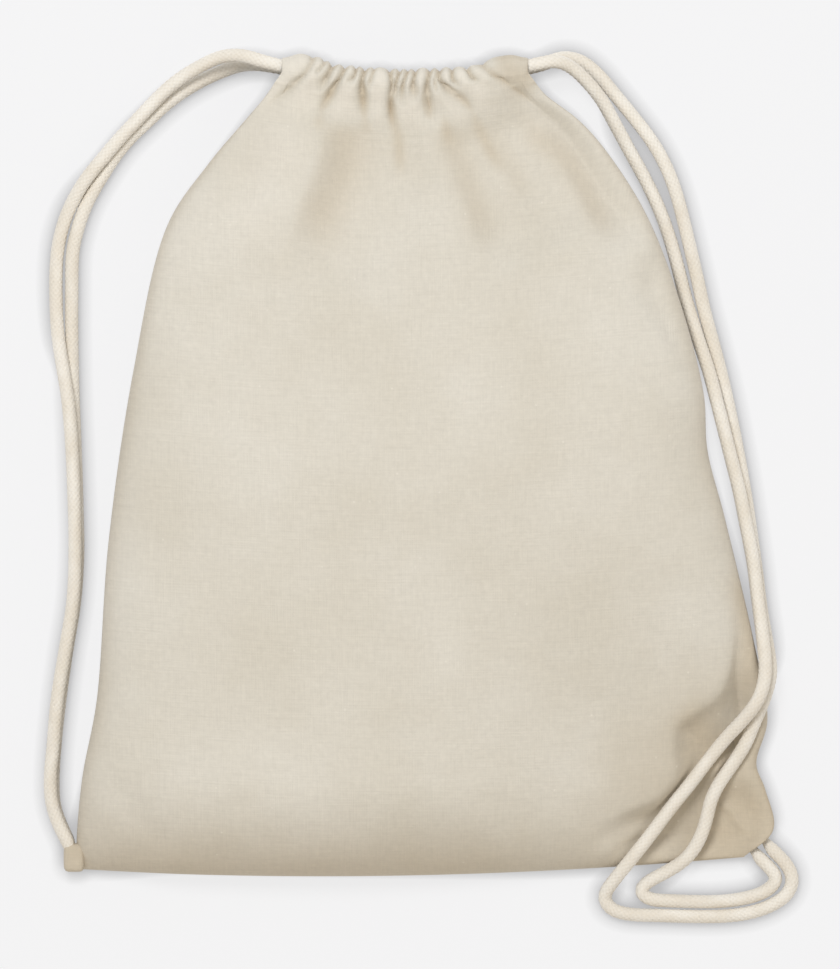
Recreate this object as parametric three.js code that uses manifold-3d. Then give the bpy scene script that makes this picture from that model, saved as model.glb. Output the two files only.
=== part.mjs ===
// Drawstring backpack of natural cotton: a flat sack with a gathered mouth, lying on its back.
// Millimetres, +Z up. X runs across the bag and Y from its bottom edge to its mouth.
// The origin is the middle of the bag's footprint, on the surface that it lies on.
import * as THREE from "three";
import { mergeVertices } from "three/addons/utils/BufferGeometryUtils.js";
import Module from "manifold-3d";

const { clamp, lerp, smoothstep } = THREE.MathUtils;
const wasm = await Module();
wasm.setup();

// Cloth, cord, and the clearance between pieces that touch
const CLOTH = 0.8;
const CORD_DIAMETER = 7;
const GAP = 0.3;

// Side outlines of the filled sack, from the bottom corner up to the slit below the mouth, as [x, y]
const LEFT_SIDE = [
  [-174.5, -203], [-173.5, -182], [-170.5, -155], [-163.5, -118], [-157.5, -38],
  [-145, 48], [-128, 121], [-108, 151], [-89, 173],
];
const RIGHT_SIDE = [
  [162, -197], [177, -183], [173, -163], [168.5, -150], [174, -128], [167, -88], [152, -25],
  [143.5, 8], [141.5, 37], [128, 88], [112, 128], [92, 159], [78, 174],
];
const BOTTOM_BOW = 6;

// Heights of the filled sack above the surface
const BELLY_HEIGHT = 58;
const SEAM_HEIGHT = 13;
const CORNER_HEIGHT = 4;
const CORNER_REACH = 60;
const BOTTOM_ROUND = 50;
const BACK_ROUND = 28;
const BELLY_END = 0.45;

// Slack lower right corner, where the sack has nothing in it
const SLACK_CORNER = [172, -190];
const SLACK_FILL = 0.16;
const SLACK_FAR = 178;
const SLACK_ROUND = 0.3;

// Folds of the front cloth, which drops on the right of each line seen from above, and less near its edge
const FRONT_FOLDS = [
  { drop: 10, run: 14, reach: 38, edge: 32, places: [[-72, 96], [-60, 128], [-50.5, 154], [-46.5, 182]] },
  { drop: 11, run: 13, reach: 34, edge: 32, places: [[34, 92], [21, 131], [12, 154], [4.5, 178]] },
  { drop: 8, run: 12, reach: 30, edge: 32, places: [[64, 106], [46, 140], [36.2, 159], [26.5, 182]] },
  { drop: 11, run: 13, reach: 36, edge: 32, places: [[96, 100], [80, 133], [66.4, 159], [54, 184]] },
  {
    drop: 14,
    run: 7,
    reach: 42,
    edge: 12,
    places: [
      [78, -195], [86.5, -184], [100.6, -175], [119, -167], [127.5, -156], [127, -143], [128.5, -131],
      [138, -124], [150, -114], [156, -98], [157.5, -74], [154, -42],
    ],
  },
];
const FOLD_ENDS = 0.25;

// Gathered mouth: two cloth tunnels for the cords, one on the front lip and one on the back lip
const MOUTH_X = -8.5;
const MOUTH_Y = 190;
const MOUTH_HALF_WIDTH = 61.5;
const MOUTH_BOW = 6.5;
const MOUTH_OPENING = 6.5;
const SLIT_HALF_WIDTH = 68;
const PLEATS = 13;
const PLEAT_DEPTH = 1.8;
const LIP_RUN = 30;
const SWAP_RUN = 17;
const TURN_CLEARANCE = 1;

// Seam allowances inside the sack, and the cloth tabs that hold the cord ends at the corners
const SEAM_WIDTH = 8;
const SEAM_THICKNESS = 1.2;
const SEAM_LEVEL = 8.5;
const TAB_LENGTH = 13;
const TAB_DEPTH = 5.2;
const TAB_ROUND = 2;
const LEFT_TAB_UP = 5.5;
const RIGHT_TAB_UP = 10;

// Strands of the two cords, from the mouth to the corner tabs, as [x, y, z]
const LEFT_LEAD = 62;
const RIGHT_STRAP_LENGTH = 372;
const SWING_CLEARANCE = 4.6;
const LEFT_FRONT_STRAND = [
  [-80.5, 203, 26.4], [-90.5, 206, 23], [-101, 205.5, 18], [-110.5, 201.5, 14.5], [-120, 196, 12],
  [-128.5, 189.5, 10.7], [-137, 181, 10], [-145, 172.5, 9.8], [-153, 164, 9.8], [-160.5, 155, 9.5],
  [-168, 146, 8.6], [-174, 137, 6.5], [-178.5, 128, 4.2], [-182, 117.5, 3.7], [-184, 106, 3.7],
  [-184.5, 88.5, 3.7], [-183.5, 67, 6], [-181, 51, 9.2], [-178.5, 36, 10.6], [-176.5, 15.5, 11.1],
  [-175, -17, 11.1], [-174.5, -42.5, 11.1], [-175.5, -67.5, 11.1], [-179.5, -92.5, 11.1],
  [-183.5, -117.5, 11.1], [-185.5, -140.5, 11.1], [-187, -158, 11.1], [-186, -170.5, 11.1],
  [-182.5, -181, 11.1],
];
const LEFT_BACK_STRAND = [
  [-80.5, 202.2, 6.6], [-90, 202.3, 4.8], [-100.5, 199, 3.7], [-111.5, 194, 3.7], [-121.5, 188, 3.7],
  [-129.5, 182, 3.7], [-138, 174, 3.7], [-147, 165.5, 3.7], [-154.5, 156.5, 3.7], [-160, 148, 3.7],
  [-165.5, 139, 3.7], [-170, 130, 3.7], [-173.5, 119.5, 3.7], [-176, 108.5, 3.7], [-176.5, 88.5, 3.7],
  [-176.5, 63.5, 3.7], [-176, 38, 3.7], [-175, 13, 3.7], [-174, -17, 3.7], [-173.5, -42.5, 3.7],
  [-175, -67.5, 3.7], [-179, -92.5, 3.7], [-182.5, -117.5, 3.7], [-185, -140.5, 3.7], [-186, -158, 3.7],
  [-185.5, -170.5, 3.7], [-182, -181, 3.7],
];
const RIGHT_FRONT_STRAND = [
  [62, 202.4, 26.4], [68.5, 203, 24.2], [76, 199.5, 20], [83.5, 192.5, 16], [90.5, 184, 12],
  [97, 172.5, 8.5], [104.5, 159, 5.5], [112, 145.5, 3.9], [119, 131, 3.7], [124, 117.5, 3.7],
  [128, 104, 3.7], [132.5, 86, 3.9], [138.5, 66, 6], [144.5, 47.5, 8.8], [149.5, 28, 10.4],
  [154.5, 8, 11], [159.5, -12, 11.1], [163, -29.5, 11.1], [166.5, -47.5, 11.1], [169, -67.5, 11.1],
  [171.5, -87.5, 12.5], [172.5, -103.5, 18.5], [169, -116.5, 24], [162, -126.5, 20.8], [153, -136.5, 16],
  [144.5, -147, 14.8], [135, -159.5, 15], [124.5, -172.5, 15.3], [114, -186.5, 14.8],
  [104.5, -198.5, 14], [96, -209.5, 8.2], [91.5, -217.5, 3.9], [95.5, -223.5, 3.7], [105.5, -226, 3.7],
  [119.5, -226.5, 3.7], [136.5, -227, 3.7], [153, -226.8, 3.7], [166, -225, 3.7], [177, -221, 3.7],
  [184.5, -215.5, 3.7], [187, -208.5, 3.7], [184, -201, 3.7],
];
const RIGHT_BACK_STRAND = [
  [62, 202.6, 6.6], [71, 206, 4.8], [80.5, 204, 3.7], [89.5, 196.5, 3.7], [97, 187.5, 3.7],
  [106.5, 176, 3.7], [116, 163.5, 3.7], [123, 151, 3.7], [128, 138, 3.7], [132, 123, 3.7],
  [135.5, 108.5, 3.7], [139, 93.5, 3.7], [142.5, 77.5, 3.7], [147, 61, 3.7], [151.5, 43.5, 3.7],
  [155.5, 25.5, 3.7], [159.5, 5.5, 3.7], [163, -14.5, 3.7], [166, -34.5, 3.7], [168.5, -52.5, 3.7],
  [171, -72.5, 3.7], [174, -90, 5.2], [175.5, -104, 10.5], [171.8, -117.5, 16.5], [167, -129, 14.6],
  [162.5, -140, 13.5], [155.5, -151, 12.9], [149.5, -159.5, 12.9], [145.5, -167.5, 12.7],
  [143, -178, 12.1], [139.5, -188, 11.6], [133, -197.5, 10.4], [122, -205, 6.8], [113, -210, 4.2],
  [109.5, -214.5, 3.7], [114.5, -218.3, 3.7], [123.5, -219, 3.7], [136.5, -219.5, 3.7],
  [149, -219.5, 3.7], [162.5, -217.9, 3.7], [173.4, -214.2, 3.7], [179.2, -208, 3.7],
];

// Fineness of the faceted forms
const PANEL_COLUMNS = 24;
const PANEL_ROWS = 20;
const END_CROWDING = 0.12;
const FOLD_STEPS = 60;
const SIDE_ROUNDNESS = 0.6;
const CORD_SIDES = 8;
const CORD_STEP = 2.4 * CORD_DIAMETER;
const PLEAT_STEPS = 4;
const BORE_STEPS = 8;
const TUNNEL_QUARTER_STEPS = 2;
const TUNNEL_END_STEP = Math.PI / 2 / TUNNEL_QUARTER_STEPS;
const TAB_ROUND_STEPS = 3;

// Sizes that follow from those above
const CORD_RADIUS = CORD_DIAMETER / 2;
const CORD_PITCH = CORD_DIAMETER + 2 * GAP;
const BORE_RADIUS = (CORD_RADIUS + GAP) / Math.cos(TUNNEL_END_STEP / 2);
const TUNNEL_RADIUS = BORE_RADIUS + CLOTH;
const PLEAT_RADIUS = TUNNEL_RADIUS + PLEAT_DEPTH;
const TUNNEL_HALF_TALL = CORD_PITCH / 2 + PLEAT_RADIUS;
const BACK_LIP_Z = PLEAT_RADIUS + GAP;
const FRONT_LIP_Z = BACK_LIP_Z + 2 * PLEAT_RADIUS + MOUTH_OPENING;
const LIP_MIDDLE_Z = (FRONT_LIP_Z + BACK_LIP_Z) / 2;
const TURN_RADIUS = (FRONT_LIP_Z - BACK_LIP_Z) / 2;
const TURN_REACH = TURN_RADIUS + CORD_RADIUS + GAP;
const LEFT_END = MOUTH_X - MOUTH_HALF_WIDTH;
const RIGHT_END = MOUTH_X + MOUTH_HALF_WIDTH;
const LEFT_TURN_X = LEFT_END + TURN_REACH;
const RIGHT_TURN_X = RIGHT_END - SWAP_RUN - TURN_REACH;

const cotton = { color: 0xd6cdb9, roughness: 0.92, metalness: 0 };
const rope = { color: 0xddd6c6, roughness: 0.88, metalness: 0 };

const backpack = new THREE.Group();

function addPiece(name, geometry, finish) {
  const mesh = new THREE.Mesh(geometry, new THREE.MeshStandardMaterial(finish));
  mesh.name = name;
  backpack.add(mesh);
  return mesh;
}

// Centre line of both tunnels, which rises towards the ends of the mouth
function mouthLine(x) {
  return MOUTH_Y + MOUTH_BOW * ((x - MOUTH_X) / MOUTH_HALF_WIDTH) ** 2;
}

// Line of stitching where the panels end and the tunnels begin
function stitchLine(x) {
  return mouthLine(x) - TUNNEL_HALF_TALL - GAP;
}

function flatCurve(places) {
  return new THREE.CatmullRomCurve3(places.map(([x, y]) => new THREE.Vector3(x, y, 0)));
}

function sideCurve(points, slitX) {
  return flatCurve([...points, [slitX, stitchLine(slitX)]]);
}

const leftSide = sideCurve(LEFT_SIDE, MOUTH_X - SLIT_HALF_WIDTH);
const rightSide = sideCurve(RIGHT_SIDE, MOUTH_X + SLIT_HALF_WIDTH);
const SLIT_SAG = MOUTH_BOW * (SLIT_HALF_WIDTH / MOUTH_HALF_WIDTH) ** 2;

// Rows lie closer together near the bottom edge and the mouth
function crowded(t) {
  return t - END_CROWDING * Math.sin(2 * Math.PI * t);
}

// Place on the sack's outline seen from above: u runs from the left side to the right, v from the bottom up
function footprint(u, v) {
  const left = leftSide.getPointAt(v);
  const right = rightSide.getPointAt(v);
  const across = (1 - Math.cos(Math.PI * u)) / 2;
  const crown = 4 * across * (1 - across);
  const width = left.distanceTo(right);
  const point = left.lerp(right, across);
  point.y -= crown * lerp(BOTTOM_BOW, SLIT_SAG, v);
  const fromSide = Math.min(across, 1 - across) * width;
  return { point, fromSide, alongSide: v * leftSide.getLength() };
}

// How full the sack is: least at the slack corner
function fullness(point) {
  const share = Math.hypot(point.x - SLACK_CORNER[0], point.y - SLACK_CORNER[1]) / SLACK_FAR;
  return (share + 1 - Math.hypot(share - 1, SLACK_ROUND)) / 2;
}

const foldLines = FRONT_FOLDS.map(({ places }) => flatCurve(places).getSpacedPoints(FOLD_STEPS));

// How far a fold lowers a place beside its line, at a distance from the cloth's edge
function foldDrop(point, { drop, run, reach, edge }, line, fromEdge) {
  const away = line.map((spot) => Math.hypot(point.x - spot.x, point.y - spot.y));
  const nearest = Math.min(...away);
  const index = away.indexOf(nearest);
  const spot = line[index];
  const along = line[Math.min(index + 1, FOLD_STEPS)].clone().sub(line[Math.max(index - 1, 0)]);
  const onRight = (point.x - spot.x) * along.y > (point.y - spot.y) * along.x;
  const share = index / FOLD_STEPS;
  const ends = smoothstep(share, 0, FOLD_ENDS) * (1 - smoothstep(share, 1 - FOLD_ENDS, 1));
  const fall = drop * (1 - Math.exp(-nearest / run)) * Math.exp(-((nearest / reach) ** 2));
  return onRight ? fall * ends * smoothstep(fromEdge, 0, edge) : 0;
}

// The seam lies low at the bottom corners, and halfway between the lips at the slits
function seamHeight({ point, fromSide, alongSide }) {
  const up = smoothstep(alongSide, 0, CORNER_REACH);
  const inward = smoothstep(fromSide, 0, CORNER_REACH);
  const free = lerp(CORNER_HEIGHT, SEAM_HEIGHT, (1 - (1 - up) * (1 - inward)) * fullness(point) ** 2);
  const length = leftSide.getLength();
  return lerp(free, LIP_MIDDLE_Z, smoothstep(alongSide, length - CORNER_REACH, length));
}

function frontPoint(u, v) {
  const place = footprint(u, v);
  const { point } = place;
  const up = point.y - footprint(u, 0).point.y;
  const seam = seamHeight(place) + GAP / 2;
  const sideRise = Math.abs(Math.sin(Math.PI * u)) ** SIDE_ROUNDNESS;
  const bottomRise = Math.sin(Math.PI / 2 * clamp(up / BOTTOM_ROUND, 0, 1)) ** SIDE_ROUNDNESS;
  const crest = lerp(BELLY_HEIGHT, FRONT_LIP_Z, smoothstep(v, BELLY_END, 1));
  const full = seam + (crest - seam) * sideRise * bottomRise * lerp(SLACK_FILL, 1, fullness(point));
  const fromEdge = Math.min(place.fromSide, up);
  const drops = FRONT_FOLDS.map((fold, i) => foldDrop(point, fold, foldLines[i], fromEdge));
  const folded = full - drops.reduce((total, drop) => total + drop, 0);
  const lowest = backPoint(u, v).z + 4 * CLOTH;
  point.z = Math.max(folded, Math.min(full, lowest));
  return point;
}

// Quarter round by which the back leaves the surface towards a seam
function curl(distance) {
  return 1 - Math.sqrt(1 - (1 - clamp(distance / BACK_ROUND, 0, 1)) ** 2);
}

function backPoint(u, v) {
  const place = footprint(u, v);
  const { point, fromSide } = place;
  const up = point.y - footprint(u, 0).point.y;
  const down = footprint(u, 1).point.y - point.y;
  const seam = seamHeight(place) - GAP / 2;
  const lip = BACK_LIP_Z * (1 - smoothstep(down, 0, LIP_RUN));
  point.z = Math.max(seam * curl(fromSide), seam * curl(up), lip);
  return point;
}

// Closed sheet of cloth from its outer face, thickened along the face's normals
function clothSheet(place, thicken) {
  const columns = PANEL_COLUMNS;
  const rows = PANEL_ROWS;
  const skin = new THREE.PlaneGeometry(1, 1, columns, rows);
  const { position, uv } = skin.attributes;
  for (let i = 0; i < position.count; i += 1) {
    const point = place(uv.getX(i), crowded(uv.getY(i)));
    position.setXYZ(i, point.x, point.y, point.z);
  }
  skin.computeVertexNormals();
  const { normal } = skin.attributes;
  const outer = [];
  const inner = [];
  for (let i = 0; i < position.count; i += 1) {
    const point = new THREE.Vector3().fromBufferAttribute(position, i);
    const offset = new THREE.Vector3().fromBufferAttribute(normal, i);
    const onSeam = uv.getX(i) % 1 === 0 || uv.getY(i) === 0;
    if (onSeam) {
      offset.setZ(0);
    }
    outer.push(point);
    inner.push(offset.setLength(Math.abs(thicken)).multiplyScalar(Math.sign(thicken)).add(point));
  }
  const [upper, lower] = thicken < 0 ? [outer, inner] : [inner, outer];
  const triangles = [...skin.index.array];
  for (let i = 0; i < skin.index.count; i += 3) {
    const [a, b, c] = skin.index.array.slice(i, i + 3);
    triangles.push(a + position.count, c + position.count, b + position.count);
  }
  const at = (column, row) => column + (columns + 1) * (rows - row);
  const rim = [];
  for (let column = 0; column < columns; column += 1) {
    rim.push(at(column, 0));
  }
  for (let row = 0; row < rows; row += 1) {
    rim.push(at(columns, row));
  }
  for (let column = columns; column > 0; column -= 1) {
    rim.push(at(column, rows));
  }
  for (let row = rows; row > 0; row -= 1) {
    rim.push(at(0, row));
  }
  rim.forEach((a, i) => {
    const b = rim[(i + 1) % rim.length];
    triangles.push(a, a + position.count, b + position.count, a, b + position.count, b);
  });
  return indexedSolid([...upper, ...lower], triangles);
}

function indexedSolid(points, triangles) {
  const geometry = new THREE.BufferGeometry().setFromPoints(points);
  geometry.setIndex(triangles);
  geometry.computeVertexNormals();
  return geometry;
}

addPiece("front_panel", clothSheet(frontPoint, -CLOTH), cotton);
addPiece("back_panel", clothSheet(backPoint, CLOTH), cotton);

// Section of a tunnel: two half rounds, one about each cord
function tunnelSection(x, centreZ, radius) {
  const section = [];
  for (const side of [1, -1]) {
    for (let k = -TUNNEL_QUARTER_STEPS; k <= TUNNEL_QUARTER_STEPS; k += 1) {
      const angle = k * TUNNEL_END_STEP + (side < 0 ? Math.PI : 0);
      const y = mouthLine(x) + side * CORD_PITCH / 2 + radius * Math.cos(angle);
      section.push(new THREE.Vector3(x, y, centreZ + radius * Math.sin(angle)));
    }
  }
  return section;
}

// Pleated tunnel with a smooth bore, open at both ends
function tunnel(centreZ) {
  const outerSteps = PLEATS * PLEAT_STEPS;
  const rings = [];
  for (let i = 0; i <= outerSteps; i += 1) {
    const pleat = (1 - Math.cos(2 * Math.PI * i / PLEAT_STEPS)) / 2;
    const x = lerp(LEFT_END, RIGHT_END, i / outerSteps);
    rings.push(tunnelSection(x, centreZ, TUNNEL_RADIUS + PLEAT_DEPTH * pleat));
  }
  for (let i = BORE_STEPS; i >= 0; i -= 1) {
    rings.push(tunnelSection(lerp(LEFT_END, RIGHT_END, i / BORE_STEPS), centreZ, BORE_RADIUS));
  }
  const around = rings[0].length;
  const triangles = [];
  rings.forEach((ring, i) => {
    const next = (i + 1) % rings.length;
    ring.forEach((point, k) => {
      const a = i * around + k;
      const b = i * around + (k + 1) % around;
      const c = next * around + k;
      const d = next * around + (k + 1) % around;
      triangles.push(a, b, d, a, d, c);
    });
  });
  return indexedSolid(rings.flat(), triangles);
}

function toSolid(geometry) {
  const bare = new THREE.BufferGeometry().setAttribute("position", geometry.attributes.position);
  bare.setIndex(geometry.index);
  const merged = mergeVertices(bare);
  const vertProperties = new Float32Array(merged.attributes.position.array);
  const triVerts = new Uint32Array(merged.index.array);
  return new wasm.Manifold(new wasm.Mesh({ numProp: 3, vertProperties, triVerts }));
}

function toGeometry(solid) {
  const { vertProperties, triVerts } = solid.getMesh();
  const geometry = new THREE.BufferGeometry();
  geometry.setAttribute("position", new THREE.BufferAttribute(vertProperties, 3));
  geometry.setIndex(new THREE.BufferAttribute(triVerts, 1));
  geometry.computeVertexNormals();
  return geometry;
}

// Window in a tunnel's inner wall, from a turn to the tunnel's end, where a cord crosses to the other lip
function turnWindow(fromX, toX, centreZ, inward) {
  const tall = 4 * TUNNEL_HALF_TALL;
  const window = new THREE.BoxGeometry(toX - fromX, tall, tall);
  return window.translate((fromX + toX) / 2, mouthLine(fromX), centreZ + inward * tall / 2);
}

function channel(centreZ, inward) {
  const left = turnWindow(LEFT_END - GAP, LEFT_TURN_X + TURN_CLEARANCE, centreZ, inward);
  const right = turnWindow(RIGHT_TURN_X - TURN_CLEARANCE, RIGHT_END + GAP, centreZ, inward);
  return toGeometry(toSolid(tunnel(centreZ)).subtract(toSolid(left)).subtract(toSolid(right)));
}

addPiece("front_channel", channel(FRONT_LIP_Z, -1), cotton);
addPiece("back_channel", channel(BACK_LIP_Z, 1), cotton);

// Closed loft through sections of equal count, with its faces turned outwards
function loft(sections) {
  const around = sections[0].length;
  const last = (sections.length - 1) * around;
  const triangles = [];
  for (let i = 0; i < last; i += around) {
    for (let k = 0; k < around; k += 1) {
      const next = (k + 1) % around;
      triangles.push(i + k, i + next, i + around + next, i + k, i + around + next, i + around + k);
    }
  }
  for (let k = 2; k < around; k += 1) {
    triangles.push(0, k, k - 1, last, last + k - 1, last + k);
  }
  const solid = indexedSolid(sections.flat(), triangles);
  const [a, b, c] = [sections[0][0], sections[0][1], sections[1][0]];
  const side = b.clone().sub(a).cross(c.clone().sub(a));
  const sum = sections[0].reduce((total, point) => total.add(point), new THREE.Vector3());
  const middle = sum.divideScalar(around);
  if (side.dot(a.clone().sub(middle)) < 0) {
    solid.setIndex(triangles.reverse());
  }
  return solid;
}

// Seam allowance: the sewn edges of both panels, folded to the inside along a stretch of the outline
function seamAllowance(stations) {
  const near = CLOTH + 2 * GAP;
  const corners = [[near, -1], [near + SEAM_WIDTH, -1], [near + SEAM_WIDTH, 1], [near, 1]];
  return loft(stations.map(({ place, inward }) => corners.map(([reach, side]) => {
    const corner = place.point.clone().addScaledVector(inward, reach);
    return corner.setZ(seamHeight(place) + side * SEAM_THICKNESS / 2);
  })));
}

function sideSeam(side, u) {
  const stations = [];
  for (let row = 0; row < PANEL_ROWS; row += 1) {
    const v = crowded(row / PANEL_ROWS);
    const place = footprint(u, v);
    const along = side.getTangentAt(v);
    const inward = new THREE.Vector3(along.y, -along.x, 0).multiplyScalar(u === 0 ? 1 : -1);
    if (seamHeight(place) > SEAM_LEVEL) {
      stations.push({ place, inward });
    }
  }
  return seamAllowance(stations);
}

function bottomSeam() {
  const stations = [];
  for (let column = 0; column <= PANEL_COLUMNS; column += 1) {
    const place = footprint(column / PANEL_COLUMNS, 0);
    const inward = new THREE.Vector3(0, 1, 0);
    if (seamHeight(place) > SEAM_LEVEL) {
      stations.push({ place, inward });
    }
  }
  return seamAllowance(stations);
}

addPiece("left_side_seam", sideSeam(leftSide, 0), cotton);
addPiece("right_side_seam", sideSeam(rightSide, 1), cotton);
addPiece("bottom_seam", bottomSeam(), cotton);

// Folded cloth tab with rounded edges: its section lies in XY, and it reaches along +Z
function foldedTab(width, tall, reach) {
  const x = width / 2 - TAB_ROUND;
  const y = tall / 2 - TAB_ROUND;
  const quarter = Math.PI / 2;
  const section = new THREE.Shape();
  [[x, y], [-x, y], [-x, -y], [x, -y]].forEach((corner, i) => {
    section.absarc(...corner, TAB_ROUND, i * quarter, (i + 1) * quarter);
  });
  const curveSegments = TAB_ROUND_STEPS;
  return new THREE.ExtrudeGeometry(section, { depth: reach, curveSegments, bevelEnabled: false });
}

// Two cord ends lie in each tab: one above the other on the left, side by side on the right
const TAB_TALL = 2 * CORD_PITCH;
const LEFT_TAB_X = LEFT_SIDE[0][0] - GAP - TAB_DEPTH / 2;
const LEFT_TAB_Y = LEFT_SIDE[0][1] + LEFT_TAB_UP + TAB_LENGTH / 2;
const leftTab = addPiece("left_corner_tab", foldedTab(TAB_DEPTH, TAB_TALL, TAB_LENGTH), cotton);
leftTab.rotation.x = Math.PI / 2;
leftTab.position.set(LEFT_TAB_X, LEFT_TAB_Y, TAB_TALL / 2 + GAP);

const rightTabEdge = rightSide.getPointAt(RIGHT_TAB_UP / rightSide.getLength());
const rightTabAlong = rightSide.getTangentAt(RIGHT_TAB_UP / rightSide.getLength());
const rightTabOut = new THREE.Vector3(rightTabAlong.y, -rightTabAlong.x, 0);
const rightTab = addPiece("right_corner_tab", foldedTab(TAB_TALL, CORD_PITCH, TAB_DEPTH), cotton);
rightTab.rotation.set(Math.PI / 2, Math.atan2(rightTabAlong.y, rightTabAlong.x), 0, "ZXY");
rightTab.position.copy(rightTabEdge).addScaledVector(rightTabOut, GAP).setZ(CORD_PITCH / 2 + GAP);

// Round cord swept along a curve
function cord(path) {
  const section = new THREE.Shape().absarc(0, 0, CORD_RADIUS, 0, 2 * Math.PI);
  const steps = Math.ceil(path.getLength() / CORD_STEP);
  const sweep = { steps, curveSegments: CORD_SIDES / 2, bevelEnabled: false, extrudePath: path };
  return new THREE.ExtrudeGeometry(section, sweep);
}

// Cord inside a tunnel. It keeps to one half of the bore, and may change over between two places.
class TunnelRun extends THREE.Curve {
  constructor(fromX, toX, centreZ, half, swap) {
    super();
    Object.assign(this, { fromX, toX, centreZ, half, swap });
  }

  getPoint(t) {
    const x = lerp(this.fromX, this.toX, t);
    const over = smoothstep(x, ...this.swap);
    const side = this.half * lerp(1, -1, over);
    return new THREE.Vector3(x, mouthLine(x) + side * CORD_PITCH / 2, this.centreZ);
  }
}

// Half round by which a cord passes from the front tunnel to the back one
class LipTurn extends THREE.Curve {
  constructor(x, half, outward) {
    super();
    Object.assign(this, { x, half, outward });
  }

  getPoint(t) {
    const x = this.x + this.outward * TURN_RADIUS * Math.sin(Math.PI * t);
    const y = mouthLine(x) + this.half * CORD_PITCH / 2;
    return new THREE.Vector3(x, y, LIP_MIDDLE_Z + TURN_RADIUS * Math.cos(Math.PI * t));
  }
}

// Stretch of a longer curve between two distances along it
class Stretch extends THREE.Curve {
  constructor(whole, from, to) {
    super();
    Object.assign(this, { whole, from, to });
  }

  getPoint(t) {
    return this.whole.getPointAt(lerp(this.from, this.to, t) / this.whole.getLength());
  }
}

const NO_SWAP = [RIGHT_END, RIGHT_END + GAP];
const RIGHT_SWAP = [RIGHT_END - SWAP_RUN, RIGHT_END];
for (const [lip, centreZ] of [["front", FRONT_LIP_Z], ["back", BACK_LIP_Z]]) {
  const left = new TunnelRun(LEFT_END, RIGHT_TURN_X - GAP, centreZ, 1, NO_SWAP);
  const right = new TunnelRun(LEFT_TURN_X + GAP, RIGHT_END, centreZ, -1, RIGHT_SWAP);
  addPiece(`left_cord_${lip}_run`, cord(left), rope);
  addPiece(`right_cord_${lip}_run`, cord(right), rope);
}
addPiece("left_cord_turn", cord(new LipTurn(RIGHT_TURN_X, 1, 1)), rope);
addPiece("right_cord_turn", cord(new LipTurn(LEFT_TURN_X, -1, -1)), rope);

// Whole strand from the end of a tunnel to the face of a tab
function strand(exitX, exitZ, points, end) {
  const exit = new THREE.Vector3(exitX, mouthLine(exitX) + CORD_PITCH / 2, exitZ);
  const route = points.map((point) => new THREE.Vector3(...point));
  return new THREE.CatmullRomCurve3([exit, ...route, end]);
}

function rightTabFace(along, out) {
  const face = rightTab.position.clone().addScaledVector(rightTabAlong, along * CORD_PITCH / 2);
  return face.addScaledVector(rightTabOut, TAB_DEPTH + out).setZ(CORD_RADIUS + GAP);
}

const LEFT_STRANDS = [
  ["front", FRONT_LIP_Z, LEFT_FRONT_STRAND, 1.5 * CORD_PITCH],
  ["back", BACK_LIP_Z, LEFT_BACK_STRAND, 0.5 * CORD_PITCH],
];
for (const [lip, exitZ, points, tabZ] of LEFT_STRANDS) {
  const end = new THREE.Vector3(LEFT_TAB_X, LEFT_TAB_Y, tabZ);
  const whole = strand(LEFT_END, exitZ, points, end);
  const lead = new Stretch(whole, GAP, LEFT_LEAD - SWING_CLEARANCE / 2);
  const strap = new Stretch(whole, LEFT_LEAD + SWING_CLEARANCE / 2, whole.getLength() - SWING_CLEARANCE / 2);
  addPiece(`left_lead_${lip}`, cord(lead), rope);
  addPiece(`left_strap_${lip}`, cord(strap), rope);
}

const RIGHT_STRANDS = [
  ["front", FRONT_LIP_Z, RIGHT_FRONT_STRAND, 1],
  ["back", BACK_LIP_Z, RIGHT_BACK_STRAND, -1],
];
for (const [lip, exitZ, points, along] of RIGHT_STRANDS) {
  const whole = strand(RIGHT_END, exitZ, points, rightTabFace(along, 0));
  const end = whole.getLength() - SWING_CLEARANCE / 2;
  const strap = new Stretch(whole, GAP, RIGHT_STRAP_LENGTH - SWING_CLEARANCE / 2);
  const loop = new Stretch(whole, RIGHT_STRAP_LENGTH + SWING_CLEARANCE / 2, end);
  addPiece(`right_strap_${lip}`, cord(strap), rope);
  addPiece(`right_loop_${lip}`, cord(loop), rope);
}

export default backpack;
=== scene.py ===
"""Looks of a natural cotton drawstring backpack that lies on its back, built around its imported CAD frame.

Lengths are in millimetres up to the point where a mesh is made, and in metres from there on.
"""

import bpy
import numpy as np
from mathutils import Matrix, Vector, noise

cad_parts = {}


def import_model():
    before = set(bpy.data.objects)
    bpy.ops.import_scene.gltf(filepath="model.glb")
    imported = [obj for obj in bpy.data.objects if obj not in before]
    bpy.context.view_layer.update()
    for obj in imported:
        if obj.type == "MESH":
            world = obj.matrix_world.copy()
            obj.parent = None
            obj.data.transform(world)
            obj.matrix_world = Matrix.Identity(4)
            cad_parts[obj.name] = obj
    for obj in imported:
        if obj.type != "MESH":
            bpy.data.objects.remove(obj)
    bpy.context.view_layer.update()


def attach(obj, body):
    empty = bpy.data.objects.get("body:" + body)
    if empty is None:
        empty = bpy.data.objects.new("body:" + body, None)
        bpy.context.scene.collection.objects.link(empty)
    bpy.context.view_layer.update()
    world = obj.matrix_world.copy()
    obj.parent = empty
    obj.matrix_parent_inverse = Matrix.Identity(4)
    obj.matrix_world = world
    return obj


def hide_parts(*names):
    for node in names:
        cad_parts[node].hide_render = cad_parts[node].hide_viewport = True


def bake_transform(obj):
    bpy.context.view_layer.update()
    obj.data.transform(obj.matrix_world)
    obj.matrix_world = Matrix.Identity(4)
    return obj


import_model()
MM = 0.001

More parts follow.
